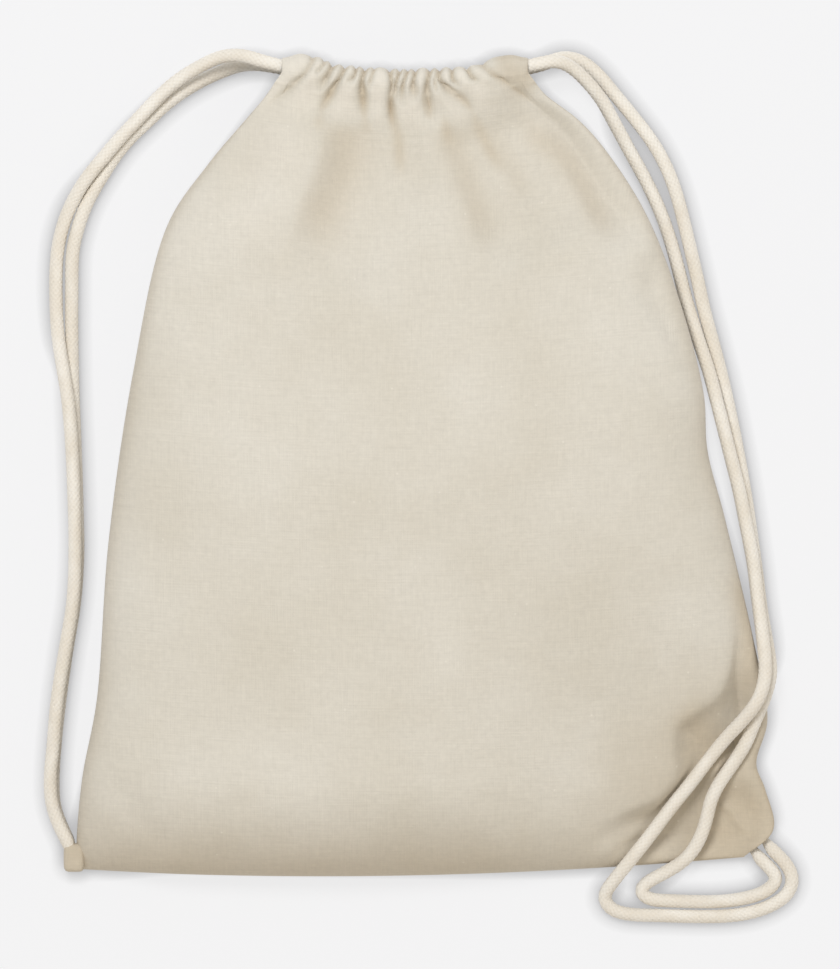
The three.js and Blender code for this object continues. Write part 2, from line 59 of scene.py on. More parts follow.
# Cloth, cord, and the clearance between pieces, as in the CAD model
CLOTH = 0.8
CORD_DIAMETER = 7
CORD_RADIUS = CORD_DIAMETER / 2
GAP = 0.3
CORD_PITCH = CORD_DIAMETER + 2 * GAP

# Side outlines of the filled sack, from the bottom corner up to the slit below the mouth
LEFT_SIDE = [
    (-174.5, -203), (-173.5, -182), (-170.5, -155), (-163.5, -118), (-157.5, -38),
    (-145, 48), (-128, 121), (-108, 151), (-89, 173),
]
RIGHT_SIDE = [
    (162, -197), (177, -183), (173, -163), (168.5, -150), (174, -128), (167, -88), (152, -25),
    (143.5, 8), (141.5, 37), (128, 88), (112, 128), (92, 159), (78, 174),
]
BOTTOM_BOW = 6

# Heights of the filled sack
BELLY_HEIGHT = 58
SEAM_HEIGHT = 13
CORNER_HEIGHT = 4
CORNER_REACH = 60
BOTTOM_ROUND = 50
BACK_ROUND = 28
BELLY_END = 0.45
SIDE_ROUNDNESS = 0.6
SLACK_CORNER = (172, -190)
SLACK_FILL = 0.16
SLACK_FAR = 178
SLACK_ROUND = 0.3
TUCK = (171.5, -191.5)
TUCK_REACH = 11
TUCK_RISE = 5.2
TUCK_FALL = 0.9

# Gathered mouth
MOUTH_X = -8.5
MOUTH_Y = 190
MOUTH_HALF_WIDTH = 61.5
MOUTH_BOW = 6.5
SLIT_HALF_WIDTH = 68
LEFT_END = MOUTH_X - MOUTH_HALF_WIDTH
RIGHT_END = MOUTH_X + MOUTH_HALF_WIDTH
BACK_LIP_Z = 7.01
FRONT_LIP_Z = 26.94
LIP_MIDDLE_Z = (FRONT_LIP_Z + BACK_LIP_Z) / 2
TURN_RADIUS = (FRONT_LIP_Z - BACK_LIP_Z) / 2
STITCH_DROP = 10.8
LIP_RUN = 30
SWAP_RUN = 17
LEFT_TURN_X = LEFT_END + TURN_RADIUS + CORD_RADIUS + GAP
RIGHT_TURN_X = RIGHT_END - SWAP_RUN - TURN_RADIUS - CORD_RADIUS - GAP

# Strands of the two cords, from the mouth to the corner tabs
LEFT_FRONT_STRAND = [
    (-80.5, 203, 26.4), (-90.5, 206, 23), (-101, 205.5, 18), (-110.5, 201.5, 14.5), (-120, 196, 12),
    (-128.5, 189.5, 10.7), (-137, 181, 10), (-145, 172.5, 9.8), (-153, 164, 9.8), (-160.5, 155, 9.5),
    (-168, 146, 8.6), (-174, 137, 6.5), (-178.5, 128, 4.2), (-182, 117.5, 3.7), (-184, 106, 3.7),
    (-184.5, 88.5, 3.7), (-183.5, 67, 6), (-181, 51, 9.2), (-178.5, 36, 10.6), (-176.5, 15.5, 11.1),
    (-175, -17, 11.1), (-174.5, -42.5, 11.1), (-175.5, -67.5, 11.1), (-179.5, -92.5, 11.1),
    (-183.5, -117.5, 11.1), (-185.5, -140.5, 11.1), (-187, -158, 11.1), (-186, -170.5, 11.1),
    (-182.5, -181, 11.1),
]
LEFT_BACK_STRAND = [
    (-80.5, 202.2, 6.6), (-90, 202.3, 4.8), (-100.5, 199, 3.7), (-111.5, 194, 3.7), (-121.5, 188, 3.7),
    (-129.5, 182, 3.7), (-138, 174, 3.7), (-147, 165.5, 3.7), (-154.5, 156.5, 3.7), (-160, 148, 3.7),
    (-165.5, 139, 3.7), (-170, 130, 3.7), (-173.5, 119.5, 3.7), (-176, 108.5, 3.7), (-176.5, 88.5, 3.7),
    (-176.5, 63.5, 3.7), (-176, 38, 3.7), (-175, 13, 3.7), (-174, -17, 3.7), (-173.5, -42.5, 3.7),
    (-175, -67.5, 3.7), (-179, -92.5, 3.7), (-182.5, -117.5, 3.7), (-185, -140.5, 3.7), (-186, -158, 3.7),
    (-185.5, -170.5, 3.7), (-182, -181, 3.7),
]
RIGHT_FRONT_STRAND = [
    (62, 202.4, 26.4), (68.5, 203, 24.2), (76, 199.5, 20), (83.5, 192.5, 16), (90.5, 184, 12),
    (97, 172.5, 8.5), (104.5, 159, 5.5), (112, 145.5, 3.9), (119, 131, 3.7), (124, 117.5, 3.7),
    (128, 104, 3.7), (132.5, 86, 3.9), (138.5, 66, 6), (144.5, 47.5, 8.8), (149.5, 28, 10.4),
    (154.5, 8, 11), (159.5, -12, 11.1), (163, -29.5, 11.1), (166.5, -47.5, 11.1), (169, -67.5, 11.1),
    (171.5, -87.5, 12.5), (172.5, -103.5, 18.5), (169, -116.5, 24), (162, -126.5, 20.8), (153, -136.5, 16),
    (144.5, -147, 14.8), (135, -159.5, 15), (124.5, -172.5, 15.3), (114, -186.5, 14.8),
    (104.5, -198.5, 14), (96, -209.5, 8.2), (91.5, -217.5, 3.9), (95.5, -223.5, 3.7), (105.5, -226, 3.7),
    (119.5, -226.5, 3.7), (136.5, -227, 3.7), (153, -226.8, 3.7), (166, -225, 3.7), (177, -221, 3.7),
    (184.5, -215.5, 3.7), (187, -208.5, 3.7), (184, -201, 3.7),
]
RIGHT_BACK_STRAND = [
    (62, 202.6, 6.6), (71, 206, 4.8), (80.5, 204, 3.7), (89.5, 196.5, 3.7), (97, 187.5, 3.7),
    (106.5, 176, 3.7), (116, 163.5, 3.7), (123, 151, 3.7), (128, 138, 3.7), (132, 123, 3.7),
    (135.5, 108.5, 3.7), (139, 93.5, 3.7), (142.5, 77.5, 3.7), (147, 61, 3.7), (151.5, 43.5, 3.7),
    (155.5, 25.5, 3.7), (159.5, 5.5, 3.7), (163, -14.5, 3.7), (166, -34.5, 3.7), (168.5, -52.5, 3.7),
    (171, -72.5, 3.7), (174, -90, 5.2), (175.5, -104, 10.5), (171.8, -117.5, 16.5), (167, -129, 14.6),
    (162.5, -140, 13.5), (155.5, -151, 12.9), (149.5, -159.5, 12.9), (145.5, -167.5, 12.7),
    (143, -178, 12.1), (139.5, -188, 11.6), (133, -197.5, 10.4), (122, -205, 6.8), (113, -210, 4.2),
    (109.5, -214.5, 3.7), (114.5, -218.3, 3.7), (123.5, -219, 3.7), (136.5, -219.5, 3.7),
    (149, -219.5, 3.7), (162.5, -217.9, 3.7), (173.4, -214.2, 3.7), (179.2, -208, 3.7),
]
LEFT_LEAD = 62
RIGHT_STRAP_LENGTH = 372

# Creases that run down from the mouth's edge: depth, half width and the line seen from above
MOUTH_CREASES = [
    (1.7, 2.2, [(-53, 206), (-57.5, 198), (-64, 191), (-74, 183.5), (-84, 175)]),
    (1.6, 1.4, [(-48.5, 202), (-51.5, 198), (-55, 195)]),
    (3.0, 1.9, [(-42.4, 205), (-46.5, 197), (-49.5, 191), (-51, 184)]),
    (2.8, 1.8, [(-37.2, 204), (-40.3, 196), (-43.4, 190), (-48.5, 182), (-54, 174)]),
    (2.4, 1.4, [(-32.6, 203), (-34, 195.5), (-38, 192), (-40.5, 193.5)]),
    (3.2, 1.9, [(-27.5, 203), (-30, 193), (-29.6, 182), (-28.6, 170)]),
    (1.8, 1.4, [(-23, 202), (-26, 192), (-27, 184)]),
    (2.8, 1.8, [(-16.5, 201), (-15.2, 192), (-15.7, 178), (-13, 160)]),
    (2.6, 1.5, [(-10.6, 201), (-13.4, 189), (-12.2, 177)]),
    (2.4, 1.5, [(-6.4, 201), (-9.6, 190), (-9.8, 176)]),
    (2.8, 1.6, [(-3, 201), (-4.6, 189), (-3, 179)]),
    (3.0, 1.8, [(4.4, 202), (2.6, 189.5), (4.6, 177), (8.5, 168)]),
    (1.8, 1.4, [(8.2, 202), (6.6, 191), (8, 183)]),
    (3.0, 1.8, [(9.5, 203), (8.4, 195.5), (12.4, 188.5), (21, 182), (28, 175)]),
    (2.4, 1.5, [(14.8, 203), (15.6, 193.5), (21, 186)]),
    (2.6, 1.5, [(20.5, 204), (24.5, 196), (27.4, 191.4), (25, 188)]),
    (1.7, 2.2, [(26.4, 205), (36, 195.5), (50, 186), (62, 178), (72, 169)]),
]

# Edges of flat folds, beyond which the cloth drops to the right of the line: drop, run, reach and line
BREAKS = [
    (13, 20, 42, [(-72, 96), (-60, 128), (-50.5, 154), (-46.5, 182)]),
    (13, 17, 36, [(34, 92), (21, 131), (12, 154), (4.5, 178)]),
    (10, 15, 32, [(64, 106), (46, 140), (36.2, 159), (26.5, 182)]),
    (13, 15, 36, [(96, 100), (80, 133), (66.4, 159), (54, 184)]),
    (2.4, 6, 20, [(-8, 132), (-13.6, 164), (-15.6, 186)]),
    (6, 12, 36, [(147, 32), (121, 64), (96, 95)]),
    (5, 10, 28, [(156, -33), (144, -10), (135, 8)]),
    (14, 10, 42, [
        (78, -195), (86.5, -184), (100.6, -175), (119, -167), (127.5, -156), (127, -143), (128.5, -131),
        (138, -124), (150, -114), (156, -98), (157.5, -74), (154, -42),
    ]),
]

# Soft ridges and hollows of the front: height, half width and line
SOFT_FOLDS = [
    (7, 19, [(-46, 186), (-55, 160), (-66, 130), (-78, 90)]),
    (1.4, 9, [(-22, 172), (-27, 150), (-32, 122)]),
    (1.2, 8, [(0, 170), (4, 148), (8, 122)]),
    (1.6, 5, [(172.5, -108), (174.5, -122), (173.5, -138)]),
    (-1.6, 4, [(166.5, -112), (167.5, -126), (166.5, -142)]),
    (5, 9, [(140, -146), (154, -154), (180, -158)]),
    (1.6, 2.6, [(149, -170), (156.5, -174.5), (162.5, -187)]),
    (1.8, 5, [(84, -198), (104, -189), (128, -184)]),
    (-1.2, 7, [(-160, -150), (-140, -178), (-120, -196)]),
]

# Painted shade in folds and gathers and along the bottom, a painted highlight where negative: strength, half
# width and line
PAINTED_FOLD_SHADES = [
    (0.34, 14, [(-34, 180), (-37, 165), (-41, 150), (-49, 131), (-58, 106)]),
    (0.24, 8, [(10, 178), (14, 165), (19, 152), (26, 131), (35, 106)]),
    (0.14, 6, [(32, 174), (42, 154), (54, 130)]),
    (0.32, 7, [(48, 180), (58, 166), (72, 154), (86, 131), (98, 108)]),
    (-0.35, 16, [(-58, 180), (-70, 155), (-82, 130), (-94, 100)]),
    (0.4, 9, [(32, 203), (40, 200), (47, 196), (60, 188)]),
    (0.26, 11, [(126, -118), (138, -132), (146, -142), (158, -152)]),
    (0.4, 7, [(156, -46), (161, -70), (163, -92), (163, -112), (159, -130)]),
    (0.3, 26, [(-270, -196), (-170, -200), (-80, -204), (0, -206), (130, -204)]),
    (0.28, 3.5, [(-43, 192), (-49, 180), (-54, 166)]),
    (0.32, 3, [(-28.8, 194), (-28.8, 180), (-27.5, 164)]),
    (0.34, 3, [(-15.2, 190), (-14.5, 178), (-12, 164), (-10.5, 142)]),
    (0.32, 2.6, [(-2.4, 194), (0, 184), (4, 170)]),
    (0.32, 3, [(6.5, 194), (10, 180), (14, 158)]),
    (0.34, 3.4, [(17, 194), (24, 180), (33, 160), (43, 144)]),
]

# Cross-section of a tunnel from its stitching over the outer face to the inner hem, about its middle
LIP_SECTION = [
    (-10.8, 4.4), (-7, 5.5), (-2, 6.5), (3, 6.4), (6.8, 4.9), (9, 1.8), (9.3, -1.4), (8, -4), (4.5, -5.6),
    (-0.5, -6), (-5.5, -5.6), (-9, -4.2), (-10.4, -2),
]
LIP_TOP = 9
LIP_SETTLE_ROWS = 16
FRONT_PUFF = 1.4
TUNNEL_CORD = 3.1

# Open ends of a tunnel, and the raised ears beside them
END_ROUND = 12
END_NARROW = 0.84
END_THIN = 0.68
EAR_RISE = 2.5
EAR_OVER = 9
EAR_FULL_FROM = 10
EAR_FULL_TO = 16
EAR_REACH = 28
EAR_FLAT = 9

# Fineness of the meshes
CLOTH_COLUMNS = 320
PANEL_ROWS = 300
LIP_ROWS = 60
CORD_AROUND = 40
CORD_STEP = 0.55
RUN_STEPS = 120
TURN_STEPS = 60
CURVE_STEPS = 60
STROKE_STEPS = 8
EASE_STEP = 1
EASE_ROUNDS = 20
SHARP_ANGLE = 1.1

# Painted shade and highlight in the cloth's colour: painted shade on slopes, in creases and at the slack
# corner, and a painted highlight on crests by the mouth
STEEP_LOW = 0.06
STEEP_HIGH = 0.5
STEEP_PAINTED_SHADE = 0.2
HOLLOW_START = 1.6
HOLLOW_DEPTH = 6
HOLLOW_MOST = 0.32
SLACK_PAINTED_SHADE = 1.4
SLACK_LIMIT = 0.55
SLACK_MOST = 0.46
CREST_PAINTED_HIGHLIGHT = 0.6
CREST_DEPTH = 1.5
CREST_START = 4
CREST_REACH = 26


def smoothstep(x, low, high):
    t = np.clip((x - low) / (high - low), 0, 1)
    return t * t * (3 - 2 * t)


def lerp(a, b, t):
    return a + (b - a) * t


def smooth_curve(points, steps=CURVE_STEPS):
    """Centripetal Catmull-Rom curve through the points, as a dense line."""
    points = np.asarray(points, float)
    whole = np.vstack([2 * points[0] - points[1], points, 2 * points[-1] - points[-2]])
    t = np.linspace(0, 1, steps, endpoint=False)[:, None]
    line = []
    for a, b, c, d in zip(whole[:-3], whole[1:-2], whole[2:-1], whole[3:]):
        before, here, after = (np.linalg.norm(q - p) ** 0.5 for p, q in ((a, b), (b, c), (c, d)))
        leave = here * ((b - a) / before - (c - a) / (before + here) + (c - b) / here)
        arrive = here * ((c - b) / here - (d - b) / (here + after) + (d - c) / after)
        line.append(
            (2 * t**3 - 3 * t**2 + 1) * b + (t**3 - 2 * t**2 + t) * leave
            + (3 * t**2 - 2 * t**3) * c + (t**3 - t**2) * arrive
        )
    return np.vstack([*line, points[-1:]])


def softened(rows):
    """The rows between the first and the last one, each drawn halfway towards its neighbours."""
    return (rows[:-2] + 2 * rows[1:-1] + rows[2:]) / 4


def relaxed(line):
    """The line with its tight bends eased, the way thick cord lies; its ends stay in place."""
    length = distances(line)[-1]
    line = points_at(line, np.linspace(0, length, int(round(length / EASE_STEP)) + 1))
    for _ in range(EASE_ROUNDS):
        line[1:-1] = softened(line)
    return line


def distances(line):
    return np.concatenate([[0], np.cumsum(np.linalg.norm(np.diff(line, axis=0), axis=1))])


def points_at(line, at):
    """Points of a line at distances along it."""
    done = distances(line)
    return np.stack([np.interp(at, done, axis) for axis in line.T], 1)


# The sack's outline and heights
def mouth_line(x):
    return MOUTH_Y + MOUTH_BOW * ((x - MOUTH_X) / MOUTH_HALF_WIDTH) ** 2


def side_curve(points, slit_x):
    return smooth_curve([*points, (slit_x, mouth_line(slit_x) - STITCH_DROP)])


LEFT_EDGE = side_curve(LEFT_SIDE, MOUTH_X - SLIT_HALF_WIDTH)
RIGHT_EDGE = side_curve(RIGHT_SIDE, MOUTH_X + SLIT_HALF_WIDTH)
LEFT_LENGTH = distances(LEFT_EDGE)[-1]
RIGHT_LENGTH = distances(RIGHT_EDGE)[-1]
SLIT_SAG = MOUTH_BOW * (SLIT_HALF_WIDTH / MOUTH_HALF_WIDTH) ** 2


def footprint(u, v):
    """Places on the sack's outline seen from above, with their distance from a side and along it."""
    left = points_at(LEFT_EDGE, v * LEFT_LENGTH)
    right = points_at(RIGHT_EDGE, v * RIGHT_LENGTH)
    across = (1 - np.cos(np.pi * u)) / 2
    place = left[:, None] + (right - left)[:, None] * across[None, :, None]
    x, y = place[..., 0], place[..., 1]
    y = y - 4 * across * (1 - across) * lerp(BOTTOM_BOW, SLIT_SAG, v)[:, None]
    width = np.linalg.norm(right - left, axis=1)[:, None]
    from_side = np.minimum(across, 1 - across)[None] * width
    return x, y, from_side, (v * LEFT_LENGTH)[:, None] + 0 * x


def fullness(x, y):
    """Share of the full height that the filling leaves, least at the slack corner."""
    away = np.hypot(x - SLACK_CORNER[0], y - SLACK_CORNER[1])
    share = away / SLACK_FAR
    return (share + 1 - np.sqrt((share - 1) ** 2 + SLACK_ROUND**2)) / 2


def seam_height(x, y, from_side, along_side, lip_z):
    up = smoothstep(along_side, 0, CORNER_REACH)
    inward = smoothstep(from_side, 0, CORNER_REACH)
    free = lerp(CORNER_HEIGHT, SEAM_HEIGHT, (1 - (1 - up) * (1 - inward)) * fullness(x, y) ** 2)
    return lerp(free, lip_z, smoothstep(along_side, LEFT_LENGTH - CORNER_REACH, LEFT_LENGTH))


def tucked(x, y):
    """Share of the opening in the seam through which the right cord's ends go in."""
    return np.exp(-(((x - TUCK[0]) ** 2 + (y - TUCK[1]) ** 2) / TUCK_REACH**2))


def front_height(x, y, u, v, from_side, along_side):
    seam = seam_height(x, y, from_side, along_side, FRONT_LIP_Z) + TUCK_RISE * tucked(x, y)
    side_rise = np.abs(np.sin(np.pi * u))[None] ** SIDE_ROUNDNESS
    bottom_rise = np.sin(np.pi / 2 * np.clip((y - y[0]) / BOTTOM_ROUND, 0, 1)) ** SIDE_ROUNDNESS
    crest_highlight = lerp(BELLY_HEIGHT, FRONT_LIP_Z + LIP_SECTION[0][1], smoothstep(v, BELLY_END, 1))[:, None]
    rise = (crest_highlight - seam) * side_rise * bottom_rise * lerp(SLACK_FILL, 1, fullness(x, y))
    return seam + rise


def back_height(x, y, from_side, along_side):
    def curl(distance):
        return 1 - np.sqrt(1 - (1 - np.clip(distance / BACK_ROUND, 0, 1)) ** 2)

    seam = seam_height(x, y, from_side, along_side, BACK_LIP_Z)
    lip = (BACK_LIP_Z - LIP_SECTION[0][1]) * (1 - smoothstep(y[-1] - y, 0, LIP_RUN))
    lowered = 1 - TUCK_FALL * tucked(x, y)
    return np.maximum.reduce([seam * curl(from_side), seam * curl(y - y[0]), lip]) * lowered


# Strokes that shape the cloth along a line
CREASE_ROUND = 0.3
CREASE_DEPTH = 1.7
CREASE_WIDTH = 0.72
CREASE_SPREAD = 1.6
CREASE_SPREAD_FROM = 0.3
CREASE_FADE_FROM = 0.45
BREAK_ROUND = 2.5

# How far from its line a stroke still counts, in half widths, and where along it the stroke is full
CREASE_MARGIN = 8
STROKE_MARGIN = 3
SOFT_FULL = (0.3, 0.6)
BREAK_FULL = (0.25, 0.75)
SHADE_FULL = (0.25, 0.7)

# Fractal noise of the limp cloth
RUMPLE_FALL = 0.9
RUMPLE_STEP = 2.1
RUMPLE_OCTAVES = 3


def beside(x, y, line):
    """Distance of places from a line, positive on its right, and their share of the way along it."""
    lengths = np.linalg.norm(np.diff(line, axis=0), axis=1)
    nearest = np.full(x.shape, np.inf)
    side = np.ones(x.shape)
    share = np.zeros(x.shape)
    done = 0
    for a, b, length in zip(line[:-1], line[1:], lengths):
        along = ((x - a[0]) * (b[0] - a[0]) + (y - a[1]) * (b[1] - a[1])) / length**2
        t = np.clip(along, 0, 1)
        away = np.hypot(x - lerp(a[0], b[0], t), y - lerp(a[1], b[1], t))
        right = np.sign((x - a[0]) * (b[1] - a[1]) - (y - a[1]) * (b[0] - a[0]))
        closer = away < nearest
        nearest = np.where(closer, away, nearest)
        side = np.where(closer, right, side)
        share = np.where(closer, (done + t * length) / lengths.sum(), share)
        done += length
    return nearest * side, share


def stroke(total, x, y, points, margin, profile, join=np.add):
    """Join a profile along a smooth line to the places that lie within the margin of it."""
    line = smooth_curve(points, STROKE_STEPS)
    low, high = line.min(0) - margin, line.max(0) + margin
    near = (x > low[0]) & (x < high[0]) & (y > low[1]) & (y < high[1])
    total[near] = join(total[near], profile(*beside(x[near], y[near], line)))


def between_ends(share, full):
    """Strength of a stroke along its line: none at either end, and full between two places."""
    return smoothstep(share, 0, full[0]) * (1 - smoothstep(share, full[1], 1))


def creased(x, y):
    """Creases from the mouth: sharp lines between soft pleats, fading downwards."""
    total = np.zeros(x.shape)
    for depth, width, points in MOUTH_CREASES:

        def crease(away, share):
            sharp = np.sqrt(away**2 + CREASE_ROUND**2) - CREASE_ROUND
            wide = CREASE_WIDTH * width * (1 + CREASE_SPREAD * smoothstep(share, CREASE_SPREAD_FROM, 1))
            left = 1 - smoothstep(share, CREASE_FADE_FROM, 1)
            return -CREASE_DEPTH * depth * np.exp(-sharp / wide) * left

        stroke(total, x, y, points, CREASE_MARGIN * width, crease, np.minimum)
    return total


def folded(x, y):
    """Soft folds and flat folds of the front, fading at both ends of their lines."""
    total = np.zeros(x.shape)
    for height, width, points in SOFT_FOLDS:

        def soft(away, share):
            return height * np.exp(-((away / width) ** 2)) * between_ends(share, SOFT_FULL)

        stroke(total, x, y, points, STROKE_MARGIN * width, soft)
    for drop, run, reach, points in BREAKS:

        def fall(away, share):
            ends = between_ends(share, BREAK_FULL)
            past = (away + np.sqrt(away**2 + BREAK_ROUND**2)) / 2
            return -drop * (1 - np.exp(-past / run)) * np.exp(-((past / reach) ** 2)) * ends

        stroke(total, x, y, points, STROKE_MARGIN * reach, fall)
    return total


def shaded(x, y):
    """Painted shade along the fold lines, a painted highlight where negative, fading at both ends of their
    lines.
    """
    total = np.zeros(x.shape)
    for strength, width, points in PAINTED_FOLD_SHADES:

        def shade(away, share):
            return strength * np.exp(-((away / width) ** 2)) * between_ends(share, SHADE_FULL)

        stroke(total, x, y, points, STROKE_MARGIN * width, shade)
    return total


def rumpled(x, y, size, seed):
    """Gentle unevenness of limp cloth."""
    spots = np.stack([x / size, y / size, 0 * x + seed], -1).reshape(-1, 3)
    values = [noise.fractal(Vector(spot), RUMPLE_FALL, RUMPLE_STEP, RUMPLE_OCTAVES) for spot in spots]
    return np.array(values).reshape(x.shape)


# Meshes
def add_object(name, data):
    thing = bpy.data.objects.new(name, data)
    bpy.context.scene.collection.objects.link(thing)
    return thing


def new_object(name, verts, faces, uv, tone):
    """Smooth piece with flat cloth coordinates in metres and a tone for each of its points, which carries
    painted shade and painted highlight.
    """
    mesh = bpy.data.meshes.new(name)
    mesh.from_pydata((np.asarray(verts) * MM).tolist(), [], faces)
    layer = mesh.uv_layers.new(name="cloth")
    corner = np.zeros(len(mesh.loops), np.int32)
    mesh.loops.foreach_get("vertex_index", corner)
    layer.data.foreach_set("uv", (uv[corner] * MM).astype(np.float32).ravel())
    mesh.attributes.new("tone", "FLOAT", "POINT").data.foreach_set("value", tone.astype(np.float32).ravel())
    mesh.polygons.foreach_set("use_smooth", np.ones(len(mesh.polygons), bool))
    mesh.set_sharp_from_angle(angle=SHARP_ANGLE)
    return add_object(name, mesh)


def grid_normals(grid):
    down = np.gradient(grid, axis=0)
    over = np.gradient(grid, axis=1)
    normal = np.cross(over, down)
    return normal / np.maximum(np.linalg.norm(normal, axis=-1, keepdims=True), 1e-9)


def cloth_sheet(name, grid, inward, thickness=CLOTH, painted_light=0.0, flat=None):
    """Closed sheet of cloth from a grid of its outer face.

    inward tells which way its thickness goes, and flat is the grid before its relief, where it has any.
    """
    rows, columns = grid.shape[:2]
    normals = grid_normals(grid)
    inner = grid + inward * thickness * normals
    verts = np.concatenate([grid.reshape(-1, 3), inner.reshape(-1, 3)])
    index = np.arange(rows * columns).reshape(rows, columns)
    a, b, c, d = index[:-1, :-1], index[:-1, 1:], index[1:, 1:], index[1:, :-1]
    quads = np.stack([a, b, c, d], -1).reshape(-1, 4)
    count = rows * columns
    rim = np.concatenate([index[0, :-1], index[:-1, -1], index[-1, :0:-1], index[:0:-1, 0]])
    after = np.roll(rim, -1)
    edge = np.stack([rim, rim + count, after + count, after], -1)
    faces = np.concatenate([quads, quads[:, ::-1] + count, edge])
    if inward > 0:
        faces = faces[:, ::-1]
    unfolded = grid if flat is None else flat
    rise = np.linalg.norm(np.diff(unfolded, axis=0), axis=-1).mean(axis=1)
    length = np.concatenate([[0], np.cumsum(rise)])[:, None] + np.zeros((1, columns))
    uv = np.stack([unfolded[..., 0], length], -1).reshape(-1, 2)
    # Painted shade on slopes, added to the painted shade and highlight that the sheet is given
    steep = smoothstep(1 - np.abs(grid_normals(unfolded)[..., 2]), STEEP_LOW, STEEP_HIGH)
    tone = np.clip(STEEP_PAINTED_SHADE * steep + painted_light, -1, 1).ravel()
    return new_object(name, verts, faces.tolist(), np.concatenate([uv, uv]), np.concatenate([tone, tone]))


def ring_faces(rings, around):
    """Numbers of the points in a stack of rings and of their neighbours, and the faces between the rings."""
    index = np.arange(rings * around).reshape(rings, around)
    beside_it = np.roll(index, -1, axis=1)
    faces = np.stack([index[:-1], beside_it[:-1], beside_it[1:], index[1:]], -1).reshape(-1, 4)
    return index, beside_it, faces.tolist()


def frames_along(line):
    """Two cross directions of a line, turned as little as possible."""
    tangent = np.gradient(line, axis=0)
    tangent /= np.linalg.norm(tangent, axis=1, keepdims=True)
    first = np.cross(tangent[0], (0, 0, 1))
    normal = [first / np.linalg.norm(first)]
    for here in tangent[1:]:
        turned = normal[-1] - here * np.dot(normal[-1], here)
        normal.append(turned / np.linalg.norm(turned))
    normal = np.array(normal)
    return normal, np.cross(tangent, normal)


# Braid of the cords
BRAID_CARRIERS = 8
BRAID_LAY = 2.9
BRAID_RELIEF = 0.44
BRAID_PEAK = 0.85
BRAID_ROUND = 0.9
BRAID_LEVEL = 0.55
BRAID_CROSSING = 0.4
FUZZ = 0.1
END_SQUEEZE = 0.62
SQUEEZE_RUN = 8
FUZZ_SOURCE = np.random.default_rng(7)


def braid(angle, length):
    """Relief of a round braid: two sets of strands that pass over and under each other."""
    around = BRAID_CARRIERS * angle / (2 * np.pi)
    heights = []
    for turn in (1, -1):
        strand = around + turn * length / BRAID_LAY
        other = around - turn * length / BRAID_LAY
        across = 2 * (strand - np.floor(strand)) - 1
        parity = np.cos(np.pi * (np.floor(strand) + (0 if turn > 0 else 1)))
        over = parity * np.cos(np.pi * (other - 0.5))
        rounded = np.sqrt(np.maximum(1 - BRAID_ROUND * across**2, 0))
        heights.append(rounded - BRAID_LEVEL + BRAID_CROSSING * over)
    return np.maximum(*heights)


class Strand:
    """Braided cord along a line, from which pieces are taken.

    It can be squeezed where it ends in a tab, or packed between its ends, where it lies in a tunnel.
    """

    def __init__(self, line, squeezed=False, packed=False):
        length = distances(line)[-1]
        self.at = np.linspace(0, length, int(round(length / CORD_STEP)) + 1)
        self.middle = points_at(line, self.at)
        normal, cross = frames_along(self.middle)
        angle = np.linspace(0, 2 * np.pi, CORD_AROUND, endpoint=False)
        relief = braid(angle[None], self.at[:, None])
        fuzz = FUZZ_SOURCE.uniform(-FUZZ, 0, relief.shape)
        radius = CORD_RADIUS - BRAID_RELIEF * (BRAID_PEAK - relief) + fuzz
        if squeezed:
            share = smoothstep(self.at, length - SQUEEZE_RUN, length)
            radius = radius * lerp(1, END_SQUEEZE, share)[:, None]
        if packed:
            share = smoothstep(np.minimum(self.at, length - self.at), 0, SQUEEZE_RUN)
            radius = radius * lerp(1, TUNNEL_CORD / CORD_RADIUS, share)[:, None]
        outward = np.cos(angle)[None, :, None] * normal[:, None]
        outward = outward + np.sin(angle)[None, :, None] * cross[:, None]
        self.rings = self.middle[:, None] + radius[..., None] * outward
        # Tone of painted shade in the braid's gaps, deepest where its relief is lowest
        self.tone = np.clip(BRAID_PEAK - relief, 0, 1)
        self.around = angle * CORD_RADIUS

    def ring_at(self, distance):
        return int(np.argmin(np.abs(self.at - distance)))

    def piece(self, name, first, last):
        rings = self.rings[first : last + 1]
        middle = self.middle[first : last + 1]
        verts = np.concatenate([rings.reshape(-1, 3), middle[:1], middle[-1:]])
        index, beside_it, faces = ring_faces(len(rings), CORD_AROUND)
        near, far = len(verts) - 2, len(verts) - 1
        faces += [[near, b, a] for a, b in zip(index[0].tolist(), beside_it[0].tolist())]
        faces += [[far, a, b] for a, b in zip(index[-1].tolist(), beside_it[-1].tolist())]
        along = np.repeat(self.at[first : last + 1, None], CORD_AROUND, 1)
        uv = np.stack([np.repeat(self.around[None], len(along), 0), along], -1).reshape(-1, 2)
        uv = np.concatenate([uv, [(0, along[0, 0]), (0, along[-1, 0])]])
        tone = np.concatenate([self.tone[first : last + 1].ravel(), [0, 0]])
        return new_object(name, verts, faces, uv, tone)


# Materials
def srgb(red, green, blue):
    value = np.array([red, green, blue]) / 255
    linear = np.where(value <= 0.04045, value / 12.92, ((value + 0.055) / 1.055) ** 2.4)
    return (*linear.tolist(), 1)


COTTON_WARM = srgb(207, 201, 188)
COTTON_PALE = srgb(214, 209, 198)
# Colours of the painted shade and the painted highlight that the cloth's tone mixes in
COTTON_PAINTED_SHADE = srgb(186, 170, 144)
COTTON_PAINTED_HIGHLIGHT = srgb(228, 222, 211)
FLECK = srgb(242, 237, 226)
ROPE_WARM = srgb(229, 222, 210)
ROPE_PALE = srgb(240, 236, 228)
